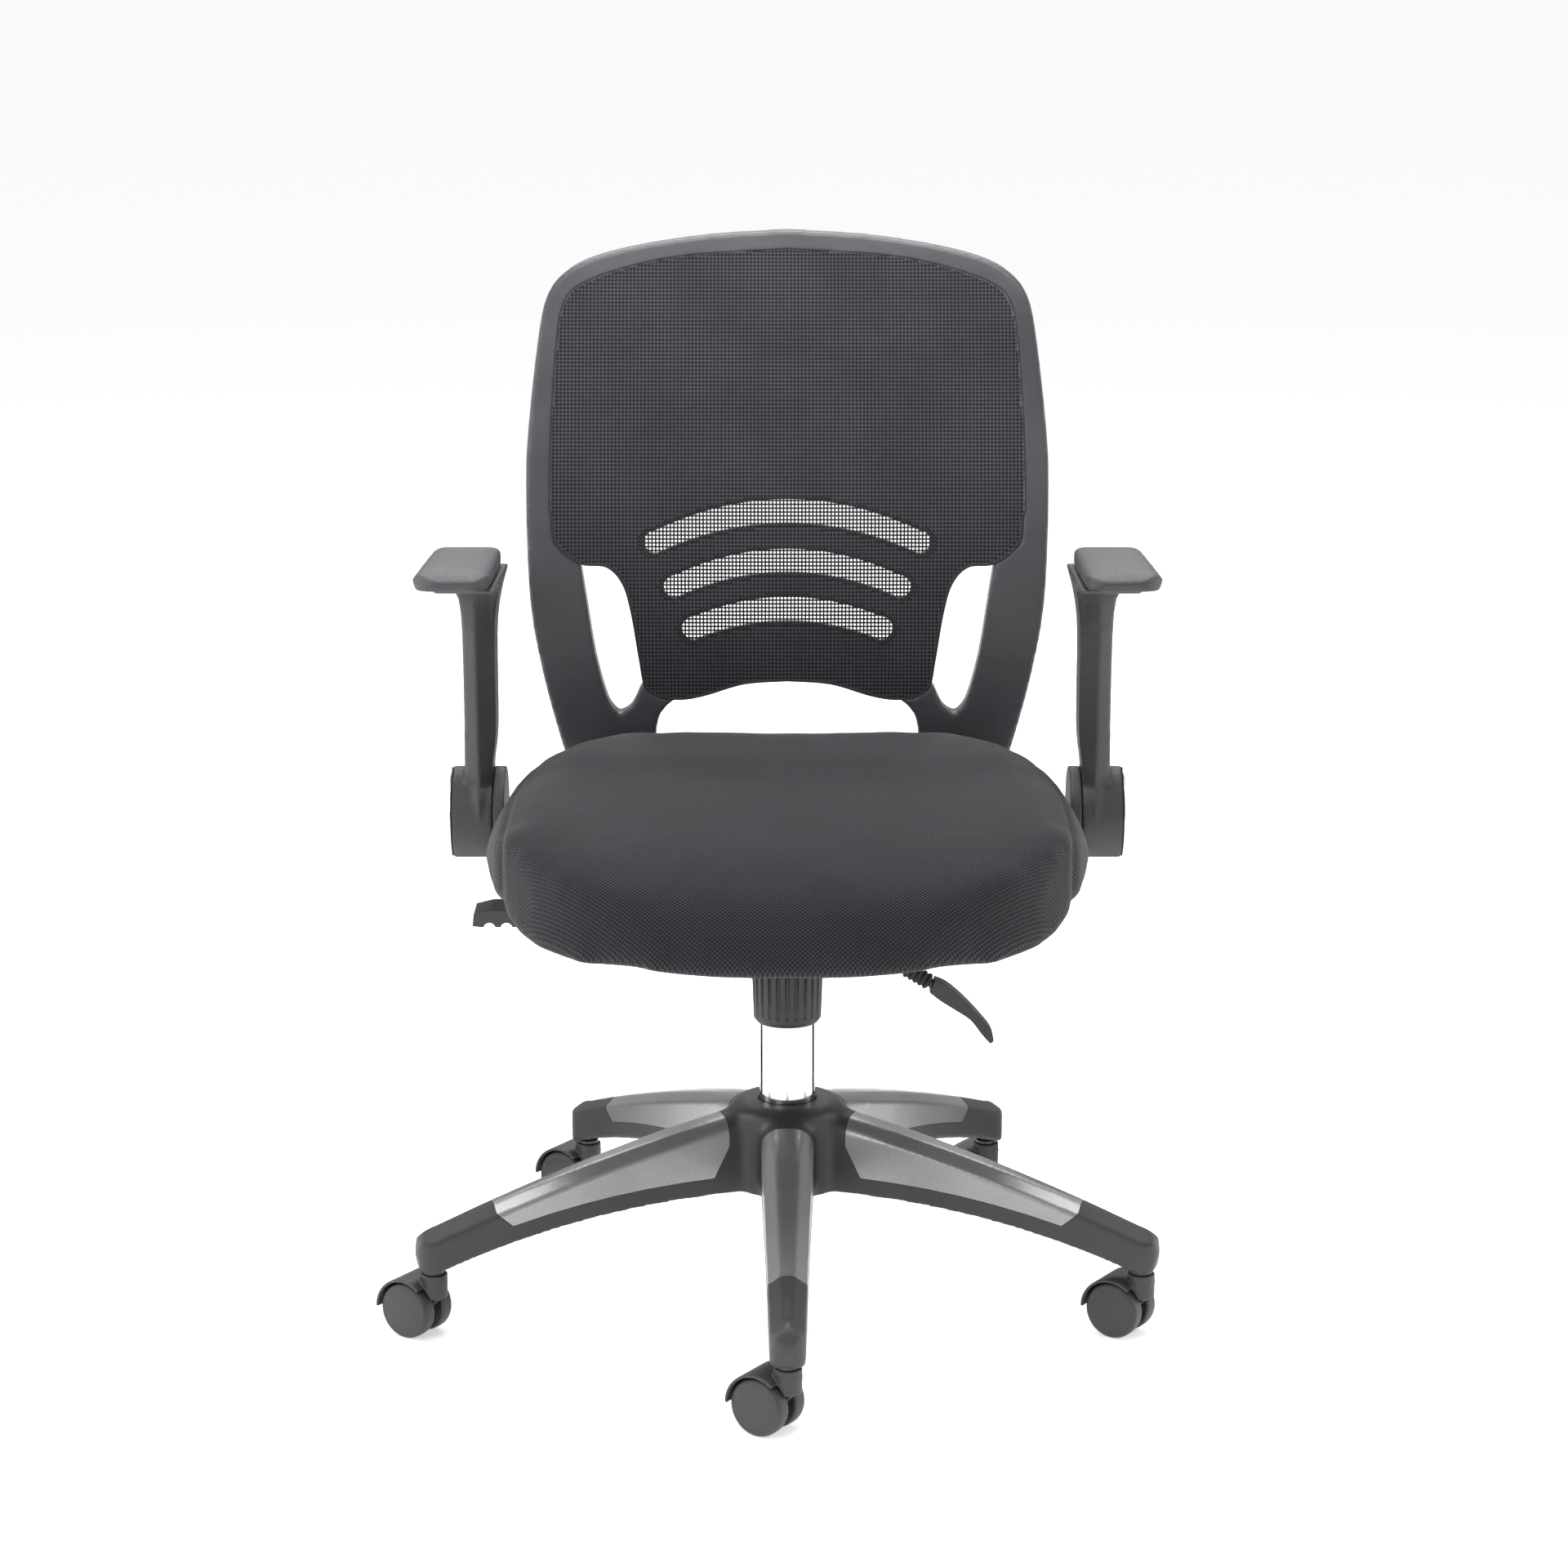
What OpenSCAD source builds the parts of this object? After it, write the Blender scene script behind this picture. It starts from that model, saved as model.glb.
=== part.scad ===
// Swivel office chair: a mesh back in a hoop frame, a padded seat, fold-back arms,
// a gas lift column, and a five-star base on twin-wheel casters.
// X runs across the chair, +Y points to its back and +Z up. Z = 0 is the floor and
// the origin lies on the swivel axis. The seat is drawn at the bottom of its travel.

/* [Base] */
// Diameter of the circle through the tips of the five legs
base_d = 682; // [600:1:840]
// Width of a leg near the hub
leg_w_hub = 47; // [38:1:58]
// Width of a leg at its tip
leg_w_tip = 30; // [26:1:38]
// Height of the hub's top above the floor
hub_z = 188; // [176:1:215]
// Depth of the hub, from its top to its underside
hub_depth = 78; // [60:1:90]
// Thickness of the silver inlay covers
inlay_t = 2; // [1.5:0.1:3]
// Height of the black band that stays below an inlay
inlay_band = 16; // [10:1:20]

/* [Casters] */
// Diameter of a caster wheel
wheel_d = 50; // [40:1:60]
// Width of one wheel of the pair
wheel_w = 15; // [11:1:19]
// Distance from the swivel stem to the wheel axle, seen from above
caster_trail = 19.5; // [12:0.5:24]
// Diameter of the stem that the caster turns on
stem_d = 11; // [9:0.5:12]

/* [Column] */
// Outer diameter of the chromed tube
tube_d = 50; // [46:0.5:56]
// Diameter of the gas cylinder that slides in the tube
gas_d = 28; // [24:0.5:32]
// Travel of the gas lift
lift_stroke = 100; // [60:1:110]
// Number of grooves round the dust sleeve
sleeve_grooves = 24; // [16:1:28]

/* [Seat] */
// Height of the seat's support plane above the floor, at the lowest setting
pan_z = 386; // [360:1:463]
// Width of the cushion
cushion_w = 524; // [436:1:560]
// Depth of the cushion, front to back
cushion_depth = 465; // [420:1:500]
// Height of the cushion's crown above the support plane
cushion_h = 90; // [72:1:112]
// Thickness of the plywood seat board
board_t = 12; // [9:0.5:16]

/* [Back] */
// Greatest width of the hoop frame
back_w = 476; // [400:1:490]
// Height of the hoop's top above the seat's support plane
back_h = 542; // [452:1:650]
// Depth of the hoop frame from its front face to its rear
frame_t = 24; // [20:0.5:32]
// Thickness of the carrier panel behind the mesh
panel_t = 7; // [5:0.5:9]

/* [Arms] */
// Distance of the fold axis behind the swivel axis
arm_y = 88; // [78:1:100]
// Height of the fold axis above the support plane
arm_z = 42; // [40:1:56]
// Diameter of the arm hub
arm_hub_d = 82; // [66:1:86]
// Height of the pad's front end above the support plane
arm_top = 292; // [244:1:350]
// Length of the arm pad
pad_len = 214; // [178:1:256]
// Width of the arm pad
pad_w = 68; // [56:1:82]
// How much lower the pad's rear end lies than its front
pad_drop = 12; // [0:1:20]

/* [Hidden] */
LEGS = 5;
$fn = 64;

FIT = 0.05;     // radial running clearance of a pin in its bore
GAP = 0.5;      // side clearance of moving faces
EPS = 0.01;

BLACK = "#2e2e32";
SOFT_BLACK = "#333338";
SILVER = "#9a9a9c";
CHROME = "#d8d8dc";
STEEL = "#77777b";
FABRIC = "#2c2a31";
WOOD = "#b98f5a";
RUBBER = "#1c1c1e";

// ---------- helpers ----------

// Points of an elliptical arc round (cx, cy)
function arc(cx, cy, rx, ry, a0, a1, n) =
    [for (i = [0:n]) let (a = a0 + (a1 - a0) * i / n) [cx + rx * cos(a), cy + ry * sin(a)]];

// One span of a smooth curve through b and c, with neighbours a and d
function span(a, b, c, d, t) =
    0.5 * (2 * b + (c - a) * t + (2 * a - 5 * b + 4 * c - d) * t * t
        + (3 * b - a - 3 * c + d) * t * t * t);

// Smooth open curve through every point of p, with n steps for each span
function curve(p, n = 3) = let (m = len(p) - 1) concat(
    [for (i = [0:m - 1], k = [0:n - 1])
        span(p[max(i - 1, 0)], p[i], p[i + 1], p[min(i + 2, m)], k / n)],
    [p[m]]);

function flip(p) = [for (i = [len(p) - 1:-1:0]) [-p[i][0], p[i][1]]];
function back_to_front(p) = [for (i = [len(p) - 1:-1:0]) p[i]];
function shift(p, dx, dy) = [for (q = p) [q[0] + dx, q[1] + dy]];

// Extrudes a (Y, Z) outline along X from x0 to x1
module along_x(x0, x1) {
    translate([x0, 0, 0]) rotate([90, 0, 90]) linear_extrude(x1 - x0) children();
}

// Extrudes an (X, Z) outline along Y from y0 to y1
module along_y(y0, y1) {
    translate([0, y1, 0]) rotate([90, 0, 0]) linear_extrude(y1 - y0) children();
}

// Round bar between two points
module bar(p, q, d) {
    v = q - p;
    len_v = norm(v);
    translate(p) rotate([0, acos(v[2] / len_v), atan2(v[1], v[0])]) cylinder(h = len_v, d = d);
}

module cyl_x(x0, x1, y, z, d) {
    translate([x0, y, z]) rotate([0, 90, 0]) cylinder(h = x1 - x0, d = d);
}

module cyl_y(x, y0, y1, z, d) {
    translate([x, y1, z]) rotate([90, 0, 0]) cylinder(h = y1 - y0, d = d);
}

module box(x0, x1, y0, y1, z0, z1) {
    translate([x0, y0, z0]) cube([x1 - x0, y1 - y0, z1 - z0]);
}

// Hexagon-head bolt that points up, with the seat of its head at p
module bolt_up(p, d, shank) {
    head_h = d * 0.65;
    translate(p) cylinder(h = shank, d = d);
    translate([p[0], p[1], p[2] - head_h]) cylinder(h = head_h, d = d * 1.8, $fn = 6);
}

// ---------- base ----------

base_r = base_d / 2;
hub_r = tube_d / 2 + 27;
hub_bottom = hub_z - hub_depth;
leg_r0 = hub_r - 14;    // a leg's inner end, inside the hub
collar_h = 3;
neck_top = wheel_d + 9;
tip_bottom = neck_top + collar_h;
stem_r = base_r - 16;
tip_x = base_r - 19;
tip_h = 39;
socket_depth = 30;
leg_bulge = 5;
leg_wall = 4;
rib_t = 2.5;
pocket_r0 = hub_r + 8;
pocket_r1 = stem_r - 20;
ribs = 6;
SLOPE = 38;             // slope of a leg's shoulders
shoulder_drop = 9;      // height of the shoulders
inlay_r0 = hub_r + 9;
inlay_r1 = base_r - 70;

function leg_angle(i) = -90 + 360 / LEGS * (i - 1);

// Height of a leg's ridge and of its lower edge at the distance r from the axis
function ridge(r) = let (t = (r - hub_r) / (tip_x - hub_r))
    (hub_z - 8) * (1 - t) + (tip_bottom + tip_h) * t + leg_bulge * 4 * t * (1 - t);
function underside(r) = let (s = max(0, (r - leg_r0) / (stem_r - leg_r0)))
    hub_bottom + 1 + (tip_bottom - hub_bottom - 1) * pow(min(s, 1), 2.2);
function half_width(r) = let (t = (r - hub_r) / (tip_x - hub_r))
    leg_w_hub / 2 + (leg_w_tip - leg_w_hub) / 2 * max(0, t);

module leg_profile(inset) {
    steps = 8;
    tip_rx = base_r - tip_x;
    polygon(concat(
        [for (i = [0:steps]) let (r = leg_r0 + (stem_r - leg_r0) * i / steps) [r, underside(r)]],
        [[base_r - 4 - inset, tip_bottom]],
        arc(tip_x, tip_bottom + tip_h * 0.4, tip_rx - inset, tip_h * 0.6 - inset, 0, 90, 6),
        [for (i = [steps - 1:-1:0]) let (r = leg_r0 + (tip_x - leg_r0) * i / steps) [r, ridge(r) - inset]]));
}

module leg_plan(inset) {
    tip_r = half_width(tip_x) - inset;
    polygon(concat(
        [[leg_r0, -half_width(leg_r0) + inset]],
        arc(base_r - tip_r - inset, 0, tip_r, tip_r, -90, 90, 12),
        [[leg_r0, half_width(leg_r0) - inset]]));
}

// Side view of the prism whose tilted top makes the sloping shoulders of a leg
module shoulder_profile(inset) {
    steps = 6;
    function top(r) = (ridge(r) - shoulder_drop + half_width(r) * tan(SLOPE)) * cos(SLOPE) - inset;
    polygon(concat([[0, -leg_w_hub], [base_r, -leg_w_hub], [base_r, top(base_r)]],
        [for (i = [steps:-1:0]) let (r = leg_r0 + (tip_x - leg_r0) * i / steps) [r, top(r)]],
        [[0, top(leg_r0)]]));
}

// Prism across a leg, from an outline in (r, z)
module across_leg() {
    rotate([90, 0, 0]) translate([0, 0, -hub_z]) linear_extrude(2 * hub_z) children();
}

module leg_form(inset = 0) {
    intersection() {
        across_leg() leg_profile(inset);
        linear_extrude(hub_z + leg_w_hub) leg_plan(inset);
        rotate([SLOPE, 0, 0]) across_leg() shoulder_profile(inset);
        rotate([-SLOPE, 0, 0]) across_leg() shoulder_profile(inset);
    }
}

// Where an inlay covers a leg: its top and the upper part of both sides
module inlay_region() {
    steps = 5;
    rise = 14;
    across_leg() polygon(concat(
        [[inlay_r0, hub_z + 5], [inlay_r0, underside(inlay_r0) + inlay_band + 2 * rise]],
        [for (i = [0:steps]) let (r = inlay_r0 + rise + (inlay_r1 - inlay_r0 - 2 * rise) * i / steps)
            [r, underside(r) + inlay_band]],
        [[inlay_r1, underside(inlay_r1) + inlay_band + rise], [inlay_r1 + 2, hub_z + 5]]));
}

// Hollow underside of a leg, divided by cross ribs
module leg_pocket() {
    steps = 6;
    pitch = (pocket_r1 - pocket_r0) / ribs;
    top = inlay_t + leg_wall;
    difference() {
        intersection() {
            across_leg() polygon(concat([[pocket_r0, 0], [pocket_r1, 0]],
                [for (i = [steps:-1:0]) let (r = pocket_r0 + (pocket_r1 - pocket_r0) * i / steps)
                    [r, ridge(r) - shoulder_drop - leg_wall]]));
            linear_extrude(hub_z) polygon([
                [pocket_r0, -half_width(pocket_r0) + top], [pocket_r1, -half_width(pocket_r1) + top],
                [pocket_r1, half_width(pocket_r1) - top], [pocket_r0, half_width(pocket_r0) - top]]);
        }
        for (i = [1:ribs - 1])
            box(pocket_r0 + pitch * i - rib_t / 2, pocket_r0 + pitch * i + rib_t / 2,
                -leg_w_hub, leg_w_hub, 0, hub_z);
    }
}

taper_d = tube_d - 3;   // lower end of the tube's taper

// The tapered seat in the hub, which the column tube wedges into
module column_taper() {
    translate([0, 0, hub_bottom - 2]) cylinder(h = hub_depth + 2 + EPS, d1 = taper_d, d2 = tube_d);
}

module base_star() color(BLACK) difference() {
    union() {
        rotate_extrude() polygon([[0, hub_bottom], [hub_r, hub_bottom], [hub_r, hub_z - 5], [hub_r - 12, hub_z],
            [0, hub_z]]);
        for (i = [1:LEGS]) rotate(leg_angle(i)) difference() {
            leg_form();
            difference() {
                inlay_region();
                leg_form(inlay_t);
            }
            leg_pocket();
            translate([stem_r, 0, tip_bottom - EPS]) cylinder(h = socket_depth, d = stem_d);
        }
    }
    column_taper();
}

module base_inlays() color(SILVER)
    for (i = [1:LEGS]) rotate(leg_angle(i)) difference() {
        intersection() {
            leg_form();
            inlay_region();
        }
        leg_form(inlay_t);
    }

// ---------- casters ----------

TRAIL_DEG = 147;        // every caster trails the same way, as after a push
axle_d = 6;
axle_z = wheel_d / 2;
web_w = 10;
neck_d = 24;
fender_gap = 1.5;
fender_t = 2.5;
stem_engage = 15;
hood_w = web_w + 2 * wheel_w + 2 * GAP + 2;

// Places a caster piece: local X points along the trail, with the stem at the origin
module at_caster(i) {
    a = leg_angle(i);
    translate([stem_r * cos(a), stem_r * sin(a), 0]) rotate(TRAIL_DEG) children();
}

module caster_stems() color(STEEL)
    for (i = [1:LEGS]) at_caster(i) {
        translate([0, 0, neck_top - stem_engage]) cylinder(h = stem_engage + collar_h + socket_depth - 2, d = stem_d);
        translate([0, 0, neck_top + GAP]) cylinder(h = collar_h - GAP - EPS, d = stem_d + 8);
    }

// Sector of a ring round the axle, as an (X, Z) outline
module fender_outline() {
    r0 = wheel_d / 2 + fender_gap;
    translate([caster_trail, axle_z]) intersection() {
        difference() {
            circle(r = r0 + fender_t);
            circle(r = r0);
        }
        polygon(concat([[0, 0]], arc(0, 0, 2 * r0, 2 * r0, 0, 128, 4)));
    }
}

module caster_hood(i) color(BLACK) at_caster(i) difference() {
    r_boss = 11;
    union() {
        translate([0, 0, neck_top - 22]) cylinder(h = 22, d = neck_d);
        along_y(-web_w / 2, web_w / 2) polygon(concat(
            [[-neck_d / 2, neck_top - 6], [-neck_d / 2 + 2, neck_top - 20]],
            arc(caster_trail, axle_z, r_boss, r_boss, -150, -10, 8),
            [[caster_trail + wheel_d / 2 + fender_gap + 0.4, axle_z + 1]],
            arc(caster_trail, axle_z, wheel_d / 2 + fender_gap + 0.4, wheel_d / 2 + fender_gap + 0.4, 15, 90, 8),
            [[0, neck_top - 6]]));
        along_y(-hood_w / 2, hood_w / 2) fender_outline();
    }
    translate([0, 0, neck_top - stem_engage - 1]) cylinder(h = stem_engage + 2, d = stem_d + 2 * FIT);
    cyl_y(caster_trail, -web_w, web_w, axle_z, axle_d);
    // The wheels' space on both sides of the web, cut out of the neck
    for (s = [-1, 1]) cyl_y(caster_trail, s > 0 ? web_w / 2 : -hood_w, s > 0 ? hood_w : -web_w / 2,
        axle_z, wheel_d + 2 * fender_gap - 0.7);
}

module caster_axle(i) color(STEEL) at_caster(i)
    cyl_y(caster_trail, -web_w / 2 - wheel_w + 2, web_w / 2 + wheel_w - 2, axle_z, axle_d);

// One wheel: a tread with rounded shoulders, a recessed inner face and a slightly domed disc
module wheel(i, side) color(SOFT_BLACK) at_caster(i)
    translate([caster_trail, side * (web_w / 2 + GAP), axle_z]) rotate([side > 0 ? -90 : 90, 0, 0])
        rotate_extrude($fn = 72) polygon(concat(
            [[axle_d / 2 + FIT, 0], [10, 0], [12, 3], [wheel_d / 2 - 5, 3], [wheel_d / 2 - 3.5, 0],
                [wheel_d / 2 - 1.5, 0.4]],
            [[wheel_d / 2, 2]],
            arc(wheel_d / 2 - 3, wheel_w - 4, 3, 3, 0, 75, 4),
            [[wheel_d / 2 - 7, wheel_w - 0.3], [0, wheel_w], [0, wheel_w - 1.5], [axle_d / 2 + FIT, wheel_w - 1.5]]));

// ---------- column ----------

tube_bottom = hub_bottom - 18;
tube_top = pan_z - 90;
tube_wall = 2;
rod_d = 10;
rod_pin_d = 8;
floor_t = 4;
bearing_t = 5;
gas_bottom = tube_bottom + floor_t + bearing_t + 12;
gas_wall = 2;
gas_top = pan_z - 26;
gas_cone = 42;
guide_len = 80;
gas_floor = 8;
piston_h = 14;
stop_room = 25;        // cylinder left below the piston at the top of the travel
rod_top = gas_bottom + gas_floor + lift_stroke + stop_room + piston_h;
sleeve_top = pan_z - 70;
sleeve_len = 57;
sleeve_wall = 4;
sleeve_d = tube_d + 2 * sleeve_wall + 2;
valve_d = 8;
valve_h = 6;

module column_tube() color(CHROME) difference() {
    union() {
        translate([0, 0, hub_z]) cylinder(h = tube_top - hub_z, d = tube_d);
        translate([0, 0, tube_bottom]) cylinder(h = hub_bottom - 2 - tube_bottom + EPS, d = taper_d);
        column_taper();
    }
    translate([0, 0, tube_bottom + floor_t]) cylinder(h = tube_top, d = taper_d - 2 * tube_wall);
    translate([0, 0, tube_bottom - 1]) cylinder(h = floor_t + 2, d = rod_pin_d + 2 * FIT);
}

module column_guide() color(BLACK) difference() {
    translate([0, 0, tube_top - guide_len]) cylinder(h = guide_len, d = taper_d - 2 * tube_wall);
    translate([0, 0, tube_top - guide_len - 1]) cylinder(h = guide_len + 2, d = gas_d + 2 * FIT);
}

module piston_rod() color(STEEL) {
    seat = tube_bottom + floor_t + bearing_t;
    translate([0, 0, tube_bottom - 3]) cylinder(h = floor_t + bearing_t + 4, d = rod_pin_d);
    translate([0, 0, seat]) cylinder(h = rod_top - seat, d = rod_d);
    translate([0, 0, rod_top - piston_h]) cylinder(h = piston_h, d = gas_d - 2 * gas_wall - 2 * FIT);
}

module thrust_bearing() color(STEEL) difference() {
    translate([0, 0, tube_bottom + floor_t + FIT]) cylinder(h = bearing_t - FIT, d = 26);
    translate([0, 0, tube_bottom]) cylinder(h = 30, d = rod_pin_d);
}

module gas_cylinder() color(STEEL) difference() {
    union() {
        translate([0, 0, gas_bottom]) cylinder(h = gas_top - gas_cone - gas_bottom, d = gas_d);
        translate([0, 0, gas_top - gas_cone]) cylinder(h = gas_cone, d1 = gas_d, d2 = gas_d - 2);
    }
    translate([0, 0, gas_bottom - 1]) cylinder(h = 20, d = rod_d + 2 * FIT);
    translate([0, 0, gas_bottom + gas_floor]) cylinder(h = gas_top - 20 - gas_bottom - gas_floor, d = gas_d - 2 * gas_wall);
    translate([0, 0, gas_top - valve_h - 4]) cylinder(h = valve_h + 5, d = valve_d + 2 * FIT);
}

module column_sleeve() color(BLACK) difference() {
    union() {
        translate([0, 0, sleeve_top - sleeve_len]) cylinder(h = 4, r1 = sleeve_d / 2 - 3, r2 = sleeve_d / 2);
        translate([0, 0, sleeve_top - sleeve_len + 4 - EPS])
            cylinder(h = sleeve_len - 4, d1 = sleeve_d, d2 = sleeve_d + 4);
    }
    translate([0, 0, sleeve_top - sleeve_len - 1]) cylinder(h = sleeve_len - 3, d = tube_d + 1.6);
    translate([0, 0, sleeve_top - 10]) cylinder(h = 20, d = gas_d);
    for (i = [0:sleeve_grooves - 1]) rotate(360 / sleeve_grooves * i)
        box(sleeve_d / 2 - 1, sleeve_d, -1.7, 1.7, sleeve_top - sleeve_len + 8, sleeve_top + 1);
}

module valve_button() color(RUBBER)
    translate([0, 0, gas_top - valve_h]) cylinder(h = valve_h + valve_lift, d = valve_d);

// ---------- mechanism ----------

valve_lift = 3;
mech_w = 124;
mech_wall = 3;
tilt_y = -40;
tilt_z = pan_z - 14;
plate_t = 5;
plate_z = pan_z - plate_t;
axle_tilt_d = 10;
flange_x = mech_w / 2 + 1;
flange_t = 4;
knob_y = -88;
bolt_d = 8;
knob_d = 48;
knob_bottom = pan_z - 57;
knob_h = 17;
housing_floor = pan_z - 22;
spring_d = 34;
spring_wire = 4;
spring_turns = 4;
socket_d = 42;
lever_d = 8;
pin_d = 4;
height_pivot = [-50, 0, pan_z - 24];
lock_pivot = [46, 18, pan_z - 49];
lock_dir = [cos(31), 0, -sin(31)];
mech_x = mech_w / 2;

// Side view of the pan, shrunk by t
function pan_side(t) = [
    [-112 + t, housing_floor - pan_z + t], [-62, housing_floor - pan_z + t], [-34, -68 + t],
    [62, -68 + t], [95 - t, -50 + t], [95 - t, -38], [tilt_y - 2, -7], [-112 + t, -7]];

module mech_housing() color(STEEL) difference() {
    union() {
        difference() {
            translate([0, 0, pan_z]) along_x(-mech_x, mech_x) polygon(pan_side(0));
            intersection() {
                translate([0, 0, pan_z]) along_x(-mech_x + mech_wall, mech_x - mech_wall)
                    polygon(pan_side(mech_wall));
                box(-mech_x, mech_x, -200, 200, 0, pan_z);
            }
            // The pan is open at the top
            translate([0, 0, pan_z]) along_x(-mech_x + mech_wall, mech_x - mech_wall)
                polygon([[95 - mech_wall, -42], [tilt_y, -12], [-112 + mech_wall, -12],
                    [-112 + mech_wall, 10], [95 - mech_wall, 10]]);
        }
        translate([0, 0, pan_z - 68]) cylinder(h = 36, d = socket_d);
        // Lugs that hold the two lever pins
        for (s = [-1, 1]) {
            box(height_pivot[0] - 5, height_pivot[0] + 5, s * 7.5 - 2, s * 7.5 + 2, pan_z - 67, height_pivot[2] + 5);
            box(lock_pivot[0] - 5, lock_pivot[0] + 5, lock_pivot[1] + s * 7.5 - 2, lock_pivot[1] + s * 7.5 + 2,
                pan_z - 67, lock_pivot[2] + 5);
        }
    }
    // Tapered socket for the gas cylinder
    translate([0, 0, gas_top - gas_cone]) cylinder(h = gas_cone, d1 = gas_d, d2 = gas_d - 2);
    cyl_x(-mech_w, mech_w, tilt_y, tilt_z, axle_tilt_d);
    // Slot for the tension bolt
    box(-6, 6, knob_y - 8, knob_y + 8, housing_floor - 1, housing_floor + 10);
    // Windows for the two levers
    box(-mech_x - 1, -mech_x + mech_wall + 1, -7, 7, height_pivot[2] - 14, height_pivot[2] + 10);
    box(mech_x - mech_wall - 1, mech_x + 1, lock_pivot[1] - 6, lock_pivot[1] + 6, pan_z - 66, lock_pivot[2] + 6);
    for (p = [height_pivot, lock_pivot])
        cyl_y(p[0], p[1] - 20, p[1] + 20, p[2], pin_d);
}

module tilt_axle() color(STEEL)
    cyl_x(-flange_x - flange_t - 2, flange_x + flange_t + 2, tilt_y, tilt_z, axle_tilt_d);

module lever_pins() color(STEEL)
    for (p = [height_pivot, lock_pivot])
        cyl_y(p[0], p[1] - 9.5, p[1] + 9.5, p[2], pin_d);

// Rings of points along the coil of the tilt spring
module tilt_spring() color(STEEL) {
    sides = 8;
    steps = 20;
    rings = spring_turns * steps;
    z0 = knob_bottom + 4 + spring_wire / 2 + 0.3;
    rise = housing_floor - spring_wire / 2 - 0.3 - z0;
    mid = (spring_d - spring_wire) / 2;
    points = [for (k = [0:rings], j = [0:sides - 1])
        let (a = 360 * k / steps, b = 360 * j / sides, r = mid + spring_wire / 2 * cos(b))
            [r * cos(a), knob_y + r * sin(a), z0 + rise * k / rings + spring_wire / 2 * sin(b)]];
    skin = [for (k = [0:rings - 1], j = [0:sides - 1]) let (n = (j + 1) % sides)
        [k * sides + j, k * sides + n, (k + 1) * sides + n, (k + 1) * sides + j]];
    polyhedron(points, concat(skin, [[for (j = [sides - 1:-1:0]) j]],
        [[for (j = [0:sides - 1]) rings * sides + j]]));
}

module tension_bolt() color(STEEL)
    translate([0, knob_y, knob_bottom + 2]) cylinder(h = plate_z + plate_t - 1 - knob_bottom - 2, d = bolt_d);

module tension_knob() color(BLACK) difference() {
    translate([0, knob_y, knob_bottom]) cylinder(h = knob_h, d = knob_d);
    translate([0, knob_y, knob_bottom + 4]) cylinder(h = knob_h, d = spring_d + 4);
    translate([0, knob_y, knob_bottom - 1]) cylinder(h = 10, d = bolt_d + 2 * FIT);
    for (i = [0:11]) translate([0, knob_y, 0]) rotate(30 * i)
        translate([knob_d / 2 + 2, 0, knob_bottom - 1]) cylinder(h = knob_h + 2, d = 8, $fn = 24);
}

// ---------- levers ----------

height_end = [-236, 8, pan_z - 33];
height_tip = gas_top + valve_lift;

module height_lever_rod() color(STEEL) difference() {
    union() {
        bar(height_end, height_pivot, lever_d);
        bar(height_pivot, [-10, 0, height_tip + 3.2], 6);
        box(-14, 6, -5, 5, height_tip + 0.1, height_tip + 5);
    }
    cyl_y(height_pivot[0], -20, 20, height_pivot[2], pin_d + 2 * FIT);
}

// Flat finger plate with a scalloped underside
module height_paddle() color(BLACK) difference() {
    z = pan_z - 39;
    along_y(-12, 28) polygon(concat(
        [[-277, z + 1], [-270, z]],
        arc(-262, z, 5, 4, 180, 0, 6), arc(-247, z, 5, 4, 180, 0, 6),
        [[-230, z], [-212, z + 1], [-212, z + 11], [-230, z + 12], [-244, z + 16], [-260, z + 16], [-276, z + 12]]));
    bar(height_end, height_pivot, lever_d);
}

bellows_from = 69;
bellows_to = 94;
paddle_from = bellows_to + 4;
lock_rod_end = 116;

module lock_lever_rod() color(STEEL) difference() {
    bar(lock_pivot, lock_pivot + lock_rod_end * lock_dir, lever_d);
    cyl_y(lock_pivot[0], -20, 60, lock_pivot[2], pin_d + 2 * FIT);
}

module lock_bellows() color(RUBBER)
    translate(lock_pivot + bellows_from * lock_dir) rotate([0, 121, 0]) rotate_extrude(convexity = 6) {
        rings = 5;
        pitch = (bellows_to - bellows_from) / rings;
        polygon(concat([[lever_d / 2, 0]],
            [for (i = [0:rings - 1], q = [[5.5, 0], [7.5, 0.3], [7.5, 0.7], [5.5, 1]])
                [q[0], pitch * (i + q[1])]],
            [[lever_d / 2, bellows_to - bellows_from]]));
    }

module lock_paddle() color(BLACK) difference() {
    p = lock_pivot + paddle_from * lock_dir;
    translate([p[0], lock_pivot[1], p[2]]) along_y(-9, 9) polygon(concat(
        curve([[1, 6], [12, 1], [26, -11], [40, -26], [51, -40], [54, -50]], 4),
        curve([[51, -53], [43, -44], [33, -31], [20, -22], [6, -13], [-4, -5]], 4)));
    bar(lock_pivot, lock_pivot + lock_rod_end * lock_dir, lever_d);
}

// ---------- seat ----------

cover_t = 3;
board_inset = 22;
plate_bolts = [[50, -60], [50, 62], [-50, -60], [-50, 62]];
kx = cushion_w / 524;
ky = cushion_depth / 465;
seat_front = -262;      // front of the cushion at its nominal depth

function seat_xy(x, y) = [x * kx, 203 + (y - 203) * ky];

// Half of the cushion's outline from above, from the middle of its front to the middle of its rear
seat_half = curve([for (p = [[0, seat_front], [110, -252], [190, -218], [238, -160], [258, -100], [262, -50],
    [258, 0], [249, 50], [232, 105], [205, 150], [150, 187], [70, 201], [0, 203]]) seat_xy(p[0], p[1])], 3);

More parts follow.
